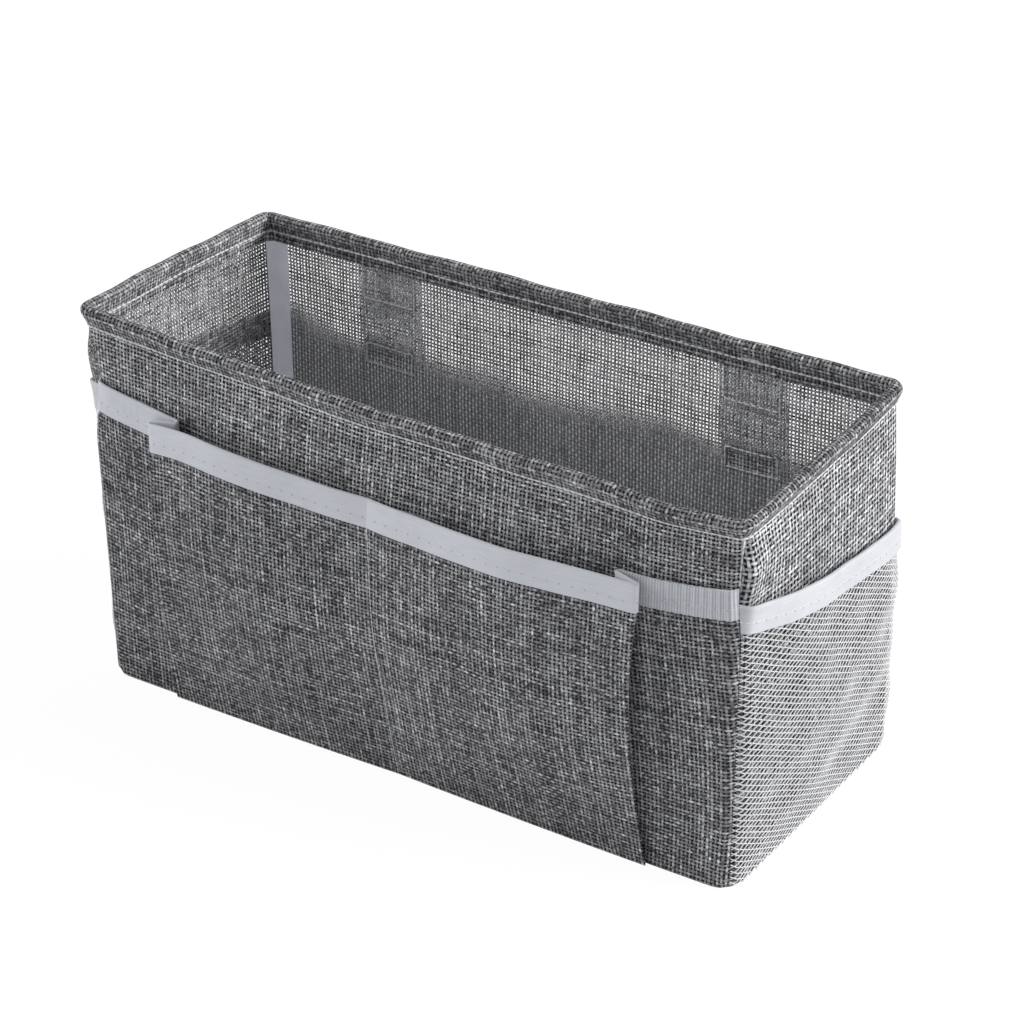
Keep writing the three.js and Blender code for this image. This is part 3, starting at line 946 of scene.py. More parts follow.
class StitchRow(Pattern):
    """Single stitches of slightly uneven length, laid one after another along each chain."""

    shortest, longest = 0.88, 1.06

    def __init__(self) -> None:
        super().__init__("Stitch row")
        for name in ("Pitch", "Length", "Thread"):
            self.input(name, "NodeSocketFloat")
        self.input("Seed", "NodeSocketInt")
        self.input("Material", "NodeSocketMaterial")
        curve = self.node("GeometryNodeMeshToCurve", sockets={"Mesh": self.given("Geometry")})
        spacing = {"Curve": curve, "Length": self.given("Pitch")}
        points = self.node("GeometryNodeCurveToPoints", {"mode": "LENGTH"}, spacing)
        turn = Value(self, points.socket.node.outputs["Rotation"])
        limits = {2: self.shortest, 3: self.longest, "Seed": self.given("Seed")}
        uneven = self.node("FunctionNodeRandomValue", {"data_type": "FLOAT"}, limits, out=1)
        bead = self.node("GeometryNodeMeshUVSphere", sockets={"Segments": 6, "Rings": 5, "Radius": 0.5})
        thread = self.given("Thread")
        size = self.vector(thread, thread, self.given("Length") * uneven)
        sockets = {"Points": points, "Instance": bead, "Rotation": turn, "Scale": size}
        self.end(self.node("GeometryNodeInstanceOnPoints", sockets=sockets))


class Strands(Pattern):
    """A round strand along each chain."""

    def __init__(self) -> None:
        super().__init__("Strands")
        self.input("Radius", "NodeSocketFloat")
        self.input("Sides", "NodeSocketInt")
        self.input("Material", "NodeSocketMaterial")
        curve = self.node("GeometryNodeMeshToCurve", sockets={"Mesh": self.given("Geometry")})
        ring = {"Resolution": self.given("Sides"), "Radius": self.given("Radius")}
        profile = self.node("GeometryNodeCurvePrimitiveCircle", {"mode": "RADIUS"}, ring)
        sockets = {"Curve": curve, "Profile Curve": profile, "Fill Caps": True}
        self.end(self.node("GeometryNodeCurveToMesh", sockets=sockets))


# What every sub-assembly is made with


@dataclass(frozen=True)
class Kit:
    """The tray's shape, the finishes by name and the two node trees."""

    shape: TrayShape
    finish: Mapping[str, bpy.types.Material]
    stitches: StitchRow
    strands: Strands


def settle(
    piece: bpy.types.Object,
    nodes: Sequence[str] = (),
    body: str = BODY,
    spread: tuple[Vector, Vector] | None = None,
) -> bpy.types.Object:
    """Hides the CAD nodes that a finished piece stands for, and ties the piece to its body unless it has a
    spread.

    Args:
        piece: The piece.
        nodes: CAD nodes that it stands for.
        body: The body that it is tied to, when it has no spread.
        spread: Two points that do nothing to the piece; with them the piece keeps its place and is tied to
            no body.

    Returns:
        The piece.
    """
    if spread is None:
        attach(piece, body)
    else:
        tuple(spread[0])
        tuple(spread[1])
        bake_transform(piece)
    if nodes:
        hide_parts(*nodes)
    LOG.info("%s: %d faces on %s", piece.name, len(piece.data.polygons), body)
    return piece


@dataclass(frozen=True)
class Sewing:
    """A kind of sewing: how far apart its stitches are, how long and how thick."""

    pitch: float
    length: float
    thread: float
    seed: int

    def lay(
        self,
        kit: Kit,
        name: str,
        lines: Sequence[Grid],
        slot: str = "linen",
        body: str = BODY,
        spread: tuple[Vector, Vector] | None = None,
    ) -> None:
        """Lays stitches along lines and ties them to a body, unless they have a spread.

        Args:
            kit: What the caddy is made with.
            name: The piece's name.
            lines: Lines of points.
            slot: Not used.
            body: The body that they are tied to, when they have no spread.
            spread: Two points handed on to settle; with them the stitches keep their place and are tied to
                no body.
        """
        piece = chains(name, lines)
        sizes = {"pitch": self.pitch, "length": self.length, "thread": self.thread, "seed": self.seed}
        kit.stitches.dress(piece, material=kit.finish["thread"], **sizes)
        settle(piece, (), body, spread)


def declare_cloth(middle: Grid) -> None:
    """Measures a sheet's flat width and length from its own grid of points, and does nothing with them."""
    width = lengths(middle, 1)[:, -1]
    length = lengths(middle, 0)[-1]


def drawn(stops: Sequence[tuple[float, float]], steps: int) -> tuple[Grid, Grid]:
    """Close points on a line through stops, as all their first and all their second numbers."""
    line = np.array(stops)
    places = np.arange(len(line))
    shares = np.linspace(0, len(line) - 1, steps * (len(line) - 1) + 1)
    return np.interp(shares, places, line[:, 0]), np.interp(shares, places, line[:, 1])


def folded_tape(mouth: float, depth: float, side: float, rows: int = 6) -> tuple[Grid, Grid]:
    """The section of a tape folded over a mouth.

    Args:
        mouth: Height of the fold.
        depth: How far both legs reach down.
        side: Distance of each leg from the middle of the cloth.
        rows: Steps down each leg.

    Returns:
        Distances out of the cloth and heights, from the outer foot over the fold to the inner foot.
    """
    leg = np.linspace(mouth - depth, mouth - side, rows + 1)
    turns = np.linspace(0, math.pi, CORNER_STEPS + 1)[1:-1]
    out = np.concatenate([np.full(rows + 1, side), side * np.cos(turns), np.full(rows + 1, -side)])
    up = np.concatenate([leg, mouth - side + side * np.sin(turns), leg[::-1]])
    return out, up


# Tray: walls with their hems, rim wire, bottom, board and seam tapes


@dataclass
class Wall:
    """One wall: cloth that goes up, round the rim wire and down again inside as a hem."""

    kit: Kit
    side: Side
    node: str
    steps: int
    cloth: float = 0.16 * MM
    inset: float = 0.45 * MM
    hem_depth: float = 13 * MM
    hem_stitch: float = 8.2 * MM
    leaf: float = 1.5 * MM
    tube: float = 2.45 * MM
    tube_wall: float = 2.9 * MM
    uneven: float = 0.3 * MM
    uneven_from: float = 0.85
    rim_waves: Waves = ((1.0, 83, 0, 2.3), (0.6, 211, 0, 1.0))
    stitch_sway: float = 0.25 * MM
    sway_rate: float = 60
    stitch_steps: int = 90
    seam_from: float = 0.83
    finish: str = "linen"
    inside: str = ""
    levels: int = 46
    turn_levels: int = 16
    hem_levels: int = 5
    sewing: Sewing = Sewing(3.0 * MM, 3.3 * MM, 0.8 * MM, seed=1)

    @property
    def height(self) -> float:
        """Height of the rim."""
        return self.kit.shape.height

    def profile(self) -> tuple[Grid, Grid]:
        """Distances out and heights from the foot, round the wire and down inside."""
        middle_up = self.height - self.tube_wall
        middle_out = self.kit.shape.overhang - self.tube_wall
        leaves = middle_up - 2 * self.tube_wall
        wall = np.linspace(self.kit.shape.foot, leaves, self.levels)
        turns = np.linspace(-math.pi / 6, math.pi, self.turn_levels)
        inside = np.linspace(leaves, self.height - self.hem_depth, self.hem_levels)
        out = [wall * 0 - self.inset, middle_out + self.tube * np.cos(turns), inside * 0 - self.leaf]
        up = [wall, middle_up + self.tube * np.sin(turns), inside]
        return np.concatenate(out), np.concatenate(up)

    def grid(self) -> tuple[Grid, Grid]:
        """The cloth's points and their places on the flat cut."""
        shape = self.kit.shape
        out, up = self.profile()
        along = shape.columns(self.side, self.steps, up)
        share = along / shape.seam_end(self.side, up[:, None])
        lift = np.clip((up[:, None] / self.height - self.uneven_from) / (1 - self.uneven_from), 0, 1)
        wave = ripple_sum(self.rim_waves, along, up[:, None], self.side.value)
        lifted = up[:, None] + self.uneven * wave * lift * (1 - share**6)
        middle = shape.place(self.side, along, out[:, None], lifted)
        centre = middle.shape[1] // 2
        travelled = lengths(middle, 1)
        across = travelled - travelled[:, [centre]] + CUT_STEP * self.side.value
        return middle, flat_cut(across, lengths(middle, 0)[:, centre])

    def build(self) -> None:
        """Makes the wall, with its hem in a finish of its own."""
        middle, cut = self.grid()
        finish = self.kit.finish
        faces = (finish[self.finish], finish[self.inside or self.finish])
        piece = closed_sheet(f"{self.node}_cloth", middle, cut, self.cloth, *faces)
        piece.data.materials.append(finish["hem"])
        rows, columns = middle.shape[:2]
        hemmed = np.tile(np.repeat(np.arange(rows - 1) >= self.levels - 1, columns - 1), 2)
        slots = np.zeros(len(piece.data.polygons), np.int32)
        piece.data.polygons.foreach_get("material_index", slots)
        slots[: len(hemmed)][hemmed] = len(piece.data.materials) - 1
        piece.data.polygons.foreach_set("material_index", slots)
        settle(piece, [self.node])
        declare_cloth(middle)

    def hem_lines(self) -> list[Grid]:
        """The lines that the hem's stitches follow, outside and inside."""
        shape = self.kit.shape
        up = np.full(1, self.height - self.hem_stitch)
        along = shape.columns(self.side, self.stitch_steps, up)[0]
        wave = self.stitch_sway * np.sin(along * self.sway_rate + self.side.value)
        half = self.sewing.thread / 2
        faces = (half - self.inset, -self.leaf - half)
        return [shape.place(self.side, along, out, up + wave) for out in faces]

    def corner_line(self) -> Grid:
        """The line of stitches that shows on the seam at the wall's right end, between tape and hem."""
        shape = self.kit.shape
        up = np.linspace(self.seam_from * self.height, self.height - self.hem_stitch, LINE_POINTS)
        along = shape.seam_end(self.side, up)
        return shape.place(self.side, along, self.sewing.thread / 2 - self.inset, up)


@dataclass
class RimWire:
    """The wire loop inside the hems, which follows the rim's unevenness."""

    kit: Kit
    radius: float = 1.25 * MM
    inset: float = 2.9 * MM
    steps: int = 60

    def build(self) -> None:
        """Makes the loop, and gives the sleeve over its ends the same finish."""
        shape = self.kit.shape
        up = np.full(1, shape.height - self.inset)
        out = shape.overhang - self.inset
        runs = [shape.place(side, shape.columns(side, self.steps, up)[0], out, up) for side in Side]
        loop = np.concatenate([*runs, runs[0][:1]])
        piece = chains("rim_wire_loop", [loop])
        self.kit.strands.dress(piece, radius=self.radius, sides=8, material=self.kit.finish["wire"])
        settle(piece, ["rim_wire"])
        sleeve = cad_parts["wire_sleeve"]
        sleeve.data.materials.clear()
        sleeve.data.materials.append(self.kit.finish["wire"])
        LOG.info("wire_sleeve keeps its solid")


@dataclass
class Base:
    """The bottom cloth and the cloth-covered board that lies on it."""

    kit: Kit
    bottom_inset: float = 0.55 * MM
    board_inset: float = 4 * MM
    corner: float = 8 * MM
    corner_rows: int = 8
    rows: int = 15
    columns: int = 41

    def grid(self, inset: float, up: float) -> tuple[Grid, Grid]:
        """A flat sheet with rounded corners.

        Args:
            inset: Distance inside the tray's foot.
            up: Height of its middle.

        Returns:
            Its points about the middle of the tray, and their places on the flat cut.
        """
        shape = self.kit.shape
        ground = np.zeros(1)
        half = float(shape.half(Side.FRONT, ground)[0]) - inset
        deep = float(shape.reach(Side.FRONT, ground)[0]) - inset
        corner = self.corner
        turn = np.linspace(0, math.pi / 2, self.corner_rows + 1)[1:]
        end = deep - corner + corner * np.sin(turn)
        back = np.concatenate([-end[::-1], np.linspace(corner - deep, deep - corner, self.rows), end])
        past = np.maximum(0, np.abs(back) - (deep - corner))
        reach = half - corner + np.sqrt(np.maximum(corner**2 - past**2, 0.0))
        x = reach[:, None] * np.linspace(-1, 1, self.columns)[None, :]
        y = np.broadcast_to(back[:, None], x.shape)
        return np.stack([x, y, np.full_like(x, up)], axis=-1), np.stack([x, y], axis=-1)

    def build(self) -> None:
        """Makes the bottom and the board."""
        low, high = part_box("bottom_panel")
        flat, cut = self.grid(self.bottom_inset, (low.z + high.z) / 2)
        middle = self.kit.shape.settled(*np.moveaxis(flat, -1, 0))
        bottom = closed_sheet("bottom_cloth", middle, cut, high.z - low.z, self.kit.finish["lining"])
        settle(bottom, ["bottom_panel"])
        declare_cloth(middle)
        low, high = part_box("base_board")
        flat, cut = self.grid(self.board_inset, (low.z + high.z) / 2)
        middle = flat + np.array([0.0, self.kit.shape.centre, 0.0])
        board = closed_sheet("covered_board", middle, cut, high.z - low.z, self.kit.finish["lining"])
        settle(board, ["base_board"], body="base_board")


@dataclass
class SeamTapes:
    """Tapes over the raw seam edges inside the tray."""

    kit: Kit
    thickness: float = 0.5 * MM
    inset: float = 1.0 * MM
    start: float = 1.2 * MM
    base_height: float = 9 * MM
    width: float = 11.8 * MM
    round: float = 2.6 * MM
    top: float = 150 * MM
    trim: float = 0.3 * MM
    wander: float = 0.5 * MM
    wander_rate: float = 47
    lift: float = 0.5 * MM
    lift_uneven: float = 0.5
    lift_rate: float = 70
    steps: int = 40
    base_rows: int = 5
    corner_columns: int = 9

    def along_base(self, side: Side, node: str) -> None:
        """One tape along the foot of a wall."""
        shape = self.kit.shape
        up = np.linspace(self.start, self.start + self.base_height, self.base_rows)
        along = shape.columns(side, self.steps, up, self.trim)
        middle = shape.place(side, along, -self.inset, up[:, None])
        self.sheet(node, middle, flat_cut(along, up))

    def up_corner(self, side: Side, hand: int, node: str) -> None:
        """One tape up a corner seam, on the wall beside it."""
        shape = self.kit.shape
        up = np.linspace(self.start + self.base_height + self.trim, self.top, self.steps)
        share = np.linspace(0, 1, self.corner_columns)[None, :]
        wander = self.wander * np.sin(up * self.wander_rate)[:, None]
        near = shape.seam_end(side, up)[:, None] + self.round
        along = near - (self.width + wander) * share
        along = np.sort(hand * along, axis=1)
        uneven = 1 + self.lift_uneven * np.sin(up * self.lift_rate)[:, None]
        lift = self.lift * np.sin(share * math.pi) * uneven
        middle = shape.place(side, along, -self.inset - lift, up[:, None])
        piece = self.sheet(node, middle, flat_cut(along, up))
        declare_cloth(middle)

    def sheet(self, node: str, middle: Grid, cut: Grid) -> bpy.types.Object:
        """A tape that stands for a CAD node, from its points and its flat cut."""
        piece = closed_sheet(f"{node}_cloth", middle, cut, self.thickness, self.kit.finish["seam_tape"])
        return settle(piece, [node])

    def build(self) -> None:
        """Makes the four base tapes and the four corner tapes."""
        for side in Side:
            self.along_base(side, f"{side.name.lower()}_base_tape")
        for side in LONG_SIDES:
            for hand in Hand:
                toward = hand.value if side is Side.FRONT else -hand.value
                self.up_corner(side, toward, f"{side.name.lower()}_{hand.word}_corner_tape")


# Front pockets


@dataclass
class FrontPocket:
    """Half of the front pocket cloth: a wing at the corner, a pleat and the span to the divider seam."""

    kit: Kit
    hand: Hand
    fold: float
    mouth: float = 133.5 * MM
    depth: float = 12.5 * MM
    sag: float = 6 * MM
    pleat: float = 11 * MM
    divider_mouth: float = -8 * MM
    divider_base: float = -3 * MM
    swell: float = 2.5 * MM
    foot_stand: float = 0.3 * MM
    mouth_stand: float = 1.3 * MM
    foot_layer: float = 0.9 * MM
    mouth_layer: float = 3.2 * MM
    foot_bend: float = 0.6 * MM
    mouth_bend: float = 1.5 * MM
    cloth: float = 0.16 * MM
    tape: float = 0.4 * MM
    tape_side: float = 0.5 * MM
    pucker: float = 0.16 * MM
    pucker_pitch: float = 3.4 * MM
    pucker_run: float = 4 * MM
    below_mouth: float = 1 * MM
    above_foot: float = 2 * MM
    seam_out: float = 0.25 * MM
    stitch_up: float = 4.8 * MM
    cut_start: float = 5.0
    droop: float = 0.0
    droop_run: float = 30 * MM
    fold_bow: float = 0.0
    wing_steps: int = 64
    pleat_steps: int = 6
    span_steps: int = 64
    bend_steps: int = 8
    levels: int = 48
    seam_points: int = 60
    tape_sewing: Sewing = Sewing(2.6 * MM, 2.1 * MM, 0.3 * MM, seed=3)
    divider_sewing: Sewing = Sewing(3.0 * MM, 3.3 * MM, 0.4 * MM, seed=1)

    @property
    def body(self) -> str:
        """The name of the pocket's body, which also begins its pieces' names; no piece is tied to it, as
        each has a spread.
        """
        return f"front_{self.hand.word}_pocket"

    def divider(self, up: Grid) -> Grid:
        """Where the divider seam is at a height."""
        return mix(self.divider_base, self.divider_mouth, self.opening(up))

    @staticmethod
    def steps(count: int) -> Grid:
        """Even shares up to 1, without the 0."""
        return np.linspace(0, 1, count + 1)[None, 1:]

    def opening(self, up: Grid) -> Grid:
        """0 at the foot and 1 from the tape upwards."""
        foot = self.kit.shape.foot
        return np.clip((up - foot) / (self.mouth - self.depth - foot), 0, 1)

    def path(self, up: Grid) -> tuple[Grid, Grid]:
        """The line of the cloth seen from above.

        Args:
            up: Heights, one for each row.

        Returns:
            Distances along the front and out of it, from left to right.
        """
        shape = self.kit.shape
        up = np.asarray(up, float)[:, None]
        opened = self.opening(up)
        stand = mix(self.foot_stand, self.mouth_stand, opened)
        layer = mix(self.foot_layer, self.mouth_layer, opened)
        face = stand + 2 * layer + self.swell * np.sin(math.pi * opened)
        bend = mix(self.foot_bend, self.mouth_bend, opened)
        near = self.fold - self.pleat + bend / 2
        far = self.fold - bend / 2 - self.fold_bow * np.sin(math.pi * opened)
        turns = np.linspace(-math.pi / 2, math.pi / 2, self.bend_steps + 1)[None, 1:]
        turned = bend * (1 + np.sin(turns)) / 2
        straight = shape.straight_end(Side.FRONT, up)
        seam = shape.seam_end(Side.FRONT, up)
        corner = mix(seam, straight, np.linspace(0, 1, CORNER_STEPS + 1)[None, :])
        wing = mix(straight, near, self.steps(self.wing_steps))
        inner = near - bend / 2 * np.cos(turns)
        rest = mix(near, far, self.steps(self.pleat_steps))
        rest_out = mix(stand + bend, face - bend, self.steps(self.pleat_steps))
        outer = far + bend / 2 * np.cos(turns)
        share = self.steps(self.span_steps)
        span = mix(far, self.hand.value * self.divider(up), share)
        along = np.concatenate([corner, wing, inner, rest, outer, span], axis=1)
        level = [np.ones_like(corner) * stand, np.ones_like(wing) * stand, stand + turned, rest_out]
        out = np.concatenate([*level, face - bend + turned, mix(face, stand, share**2)], axis=1)
        if self.hand is Hand.RIGHT:
            return along[:, ::-1], out[:, ::-1]
        return -along, out

    def place(self, offset: Any, up: Grid) -> tuple[Grid, Grid]:
        """Points at a distance out of the cloth.

        Args:
            offset: Distances out of the cloth's middle, for each row or each point.
            up: Heights, one for each row.

        Returns:
            The points, and how far along the cloth each lies from the middle of the span.
        """
        shape = self.kit.shape
        along, out = self.path(up)
        run, rise = np.gradient(along, axis=1), np.gradient(out, axis=1)
        size = np.hypot(run, rise)
        flat = np.stack([along, out], axis=-1)
        travelled = lengths(flat, 1)
        travelled = travelled - travelled[:, [self.middle_column(travelled.shape[1])]]
        across = 1 - (along / shape.seam_end(Side.FRONT, up[:, None])) ** 2
        raised = np.clip((out - self.mouth_stand) / (2 * self.mouth_layer), 0, 1)
        lean = np.clip(1 - (self.fold - np.abs(along)) / self.droop_run, 0, 1) ** 2 * raised
        drop = (self.sag * across + self.droop * lean) * (up[:, None] / self.mouth)
        moved = (along - rise / size * offset, out + run / size * offset)
        return shape.place(Side.FRONT, moved[0], moved[1], up[:, None] - drop), travelled

    def middle_column(self, count: int) -> int:
        """The column in the middle of the span, where the two pieces of the pocket meet."""
        half = self.span_steps // 2
        return half if self.hand is Hand.RIGHT else count - 1 - half

    def halves(self, count: int) -> list[tuple[str, slice, tuple[Vector, Vector]]]:
        """The corner piece and the divider piece, each with its columns and a pair of points handed to
        settle as its spread.
        """
        split = self.middle_column(count)
        shape = self.kit.shape
        front = shape.centre - shape.rim_depth / 2
        middle = Vector((self.hand.value * self.fold / 2, front, 0))
        corner = Vector((self.hand.value * shape.rim_length / 2, front, 0))
        divider = Vector((self.divider_mouth, front, 0))
        left, right = slice(0, split + 1), slice(split, count)
        first, second = (left, right) if self.hand is Hand.LEFT else (right, left)
        return [("corner", first, (corner, middle)), ("divider", second, (divider, middle))]

    def build(self) -> None:
        """Makes the cloth and the folded tape, each in a corner piece and a divider piece."""
        up = np.linspace(self.kit.shape.foot, self.mouth - self.below_mouth, self.levels)
        middle, travelled = self.place(0.0, up)
        start = self.cut_start + CUT_STEP * self.hand.value
        cut = flat_cut(travelled + start, up)
        self._pieces("cloth", middle, cut, self.cloth, "shaded_pocket_linen", self.body)
        offset, level = folded_tape(self.mouth, self.depth, self.tape_side)
        middle, travelled = self.place(offset[:, None] + self._puckers(level), level)
        cut = flat_cut(travelled, lengths(middle, 0)[:, middle.shape[1] // 2])
        self._pieces("tape", middle, cut, self.tape, "elastic", f"front_{self.hand.word}_binding")

    def _puckers(self, up: Grid) -> Grid:
        """Small ribs across the tape of the wing, where the elastic gathers the cloth."""
        along, _ = self.path(up)
        wing = np.clip((np.abs(along) - self.fold) / self.pucker_run, 0, 1)
        return self.pucker * wing * np.sin(along * (2 * math.pi / self.pucker_pitch))

    def _pieces(self, word: str, middle: Grid, cut: Grid, thickness: float, finish: str, node: str) -> None:
        """Cuts a grid in two and settles both pieces, each with its spread."""
        for part, columns, spread in self.halves(middle.shape[1]):
            name = f"{self.body}_{part}_{word}"
            grid = middle[:, columns]
            piece = closed_sheet(name, grid, cut[:, columns], thickness, self.kit.finish[finish])
            settle(piece, [node], self.body, spread)
            declare_cloth(grid)

    def sew(self) -> None:
        """Lays the stitches along the foot of the tape."""
        level = np.full(1, self.mouth - self.depth + self.stitch_up)
        points, _ = self.place(self.tape_side + self.tape / 2, level)
        for part, columns, spread in self.halves(points.shape[1]):
            name = f"{self.body}_{part}_sewing"
            self.tape_sewing.lay(self.kit, name, [points[0, columns]], "elastic", self.body, spread)

    def seam_line(self) -> Grid:
        """The line that the divider's stitches follow."""
        foot, top = self.kit.shape.foot + self.above_foot, self.mouth - self.below_mouth
        points, _ = self.place(self.seam_out, np.linspace(foot, top, self.seam_points))
        return points[:, -1] if self.hand is Hand.LEFT else points[:, 0]


# Net pockets


@dataclass
class NetPocket:
    """A net over an end wall, sewn at the corners and the base, with a folded tape along its mouth."""

    kit: Kit
    hand: Hand
    mouth: float
    fall: float
    depth: float = 11.5 * MM
    bulge: float = 2.4 * MM
    belly: float = 2.6 * MM
    sag: float = 1.5 * MM
    loose: float = 0.35 * MM
    loose_waves: Waves = ((1.0, 190, 130, 0.0), (0.8, -90, 240, 1.0))
    loose_rate: float = 6.0
    fuller_front: float = 0.5
    under_tape: float = 0.4
    foot_stand: float = 0.15 * MM
    mouth_stand: float = 1.7 * MM
    end_stand: float = 0.8 * MM
    mesh_wide: float = 4.8 * MM
    mesh_high: float = 2.7 * MM
    strand: float = 0.24 * MM
    strand_cross: float = 0.4
    strand_trim: float = 0.3 * MM
    tape: float = 0.4 * MM
    tape_side: float = 0.75 * MM
    tape_trim: float = 0.2 * MM
    stitch_up: float = 4.8 * MM
    steps: int = 60
    sewing: Sewing = Sewing(2.6 * MM, 2.1 * MM, 0.3 * MM, seed=5)

    @property
    def body(self) -> str:
        """The name of the net's body; no piece is tied to it, as each has a spread."""
        return f"{self.hand.word}_net_pocket"

    def place(self, along: Grid, offset: Any, up: Grid) -> Grid:
        """Points at a distance out of the net.

        Args:
            along: Distances along the end wall.
            offset: Distances out of the net.
            up: Heights before the mouth falls and sags.

        Returns:
            The points.
        """
        rise = np.clip(up / self.straight, 0, 1)
        return self.hang(along, offset, up - self.drop(along) * rise, rise)

    def hang(self, along: Grid, offset: Any, up: Grid, rise: Grid) -> Grid:
        """Points at a distance out of the net.

        Args:
            along: Distances along the end wall.
            offset: Distances out of the net.
            up: Heights.
            rise: How far up the net they lie, from 0 at its foot to 1 at its tape.

        Returns:
            The points.
        """
        share = self.hand.value * self.share(along)
        free = (1 - share**2) * (1 - self.fuller_front * share)
        stand = mix(self.foot_stand, mix(self.mouth_stand, self.end_stand, share**8), rise)
        out = stand + free * (self.bulge * rise + self.belly * 4 * rise * (1 - rise))
        return self.kit.shape.place(self.hand.end, along, out + offset, up)

    @property
    def straight(self) -> float:
        """Height of the tape's foot before the mouth falls and sags."""
        return self.mouth - self.depth

    def share(self, along: Grid) -> Grid:
        """A distance along the end wall as a share from -1 to 1."""
        level = np.full(1, self.mouth)
        return np.clip(along / self.kit.shape.seam_end(self.hand.end, level), -1, 1)

    def drop(self, along: Grid) -> Grid:
        """How far the mouth lies below its front corner."""
        share = self.share(along)
        return self.fall * (1 + self.hand.value * share) / 2 + self.sag * (1 - share**2)

    def columns(self, up: Grid) -> Grid:
        """Distances along the end wall for each height of the tape."""
        return self.kit.shape.columns(self.hand.end, self.steps, up, self.tape_trim)

    def halves(self, count: int) -> list[tuple[str, int, slice, tuple[Vector, Vector]]]:
        """The two halves of the net.

        Args:
            count: Columns of the whole tape.

        Returns:
            Each half's name, the sign of its distances along the wall, its columns and a pair of points
            handed to settle as its spread.
        """
        shape = self.kit.shape
        middle = Vector((0, shape.centre, 0))
        edge = Vector((0, shape.rim_depth / 2, 0))
        columns = {-1: slice(0, count // 2 + 1), 1: slice(count // 2, None)}
        front = -self.hand.value
        return [
            ("front", front, columns[front], (middle - edge, middle)),
            ("back", -front, columns[-front], (middle + edge, middle)),
        ]

    def strand_lines(self, sign: int) -> list[Grid]:
        """The net's strands on one half of the end wall.

        Args:
            sign: Which half, as the sign of the distance along the wall.

        Returns:
            One line of points for each strand.
        """
        shape = self.kit.shape
        foot, top = shape.foot, self.mouth - self.fall / 2 - self.under_tape * self.depth
        width = float(shape.seam_end(self.hand.end, np.array([top]))[0]) - self.strand_trim
        slope = self.mesh_high / self.mesh_wide
        tilt = -self.hand.value * self.fall / (2 * width)
        inner, outer = sorted((0.0, sign * width))
        count = math.ceil((self.mouth - foot + 2 * width * slope) / self.mesh_high)
        lines = []
        for lean in (-slope, slope):
            for number in range(count):
                at_middle = foot - width * slope + number * self.mesh_high
                ends = sorted(((foot - at_middle) / lean, (top - at_middle) / (lean - tilt)))
                start, stop = max(inner, ends[0]), min(outer, ends[1])
                steps = round((stop - start) / (self.mesh_wide / 2))
                if steps < 1:
                    continue
                along = np.linspace(start, stop, steps + 1)
                up = at_middle + lean * along
                rise = np.clip(up / (self.straight - self.drop(along)), 0, 1)
                wave = ripple_sum(self.loose_waves, along, up, 1.0)
                slack = self.loose * wave * np.minimum(1, self.loose_rate * rise)
                offset = slack + self.strand_cross * self.strand * np.sign(lean)
                lines.append(self.hang(along, offset, up, rise))
        return lines

    def build(self) -> None:
        """Makes the net and its tape, each in a front half and a back half."""
        node = f"{self.hand.word}_net"
        offset, level = folded_tape(self.mouth, self.depth, self.tape_side)
        along = self.columns(level)
        middle = self.place(along, offset[:, None], level[:, None])
        cut = flat_cut(along, lengths(middle, 0)[:, middle.shape[1] // 2])
        finish = self.kit.finish
        for part, sign, columns, spread in self.halves(along.shape[1]):
            net = chains(f"{node}_{part}_strands", self.strand_lines(sign))
            self.kit.strands.dress(net, radius=self.strand, sides=5, material=finish["netting"])
            settle(net, [node], self.body, spread)
            grid = middle[:, columns]
            name = f"{node}_{part}_tape"
            piece = closed_sheet(name, grid, cut[:, columns], self.tape, finish["net_elastic"])
            settle(piece, [f"{node}_binding"], self.body, spread)
            declare_cloth(grid)

    def sew(self) -> None:
        """Lays the stitches along the foot of the tape."""
        level = np.full(1, self.straight + self.stitch_up)
        along = self.columns(level)
        points = self.place(along, self.tape_side + self.tape / 2, level[:, None])[0]
        for part, _, columns, spread in self.halves(along.shape[1]):
            name = f"{self.hand.word}_net_{part}_sewing"
            self.sewing.lay(self.kit, name, [points[columns]], "elastic", self.body, spread)


# Hanging straps and thread ends


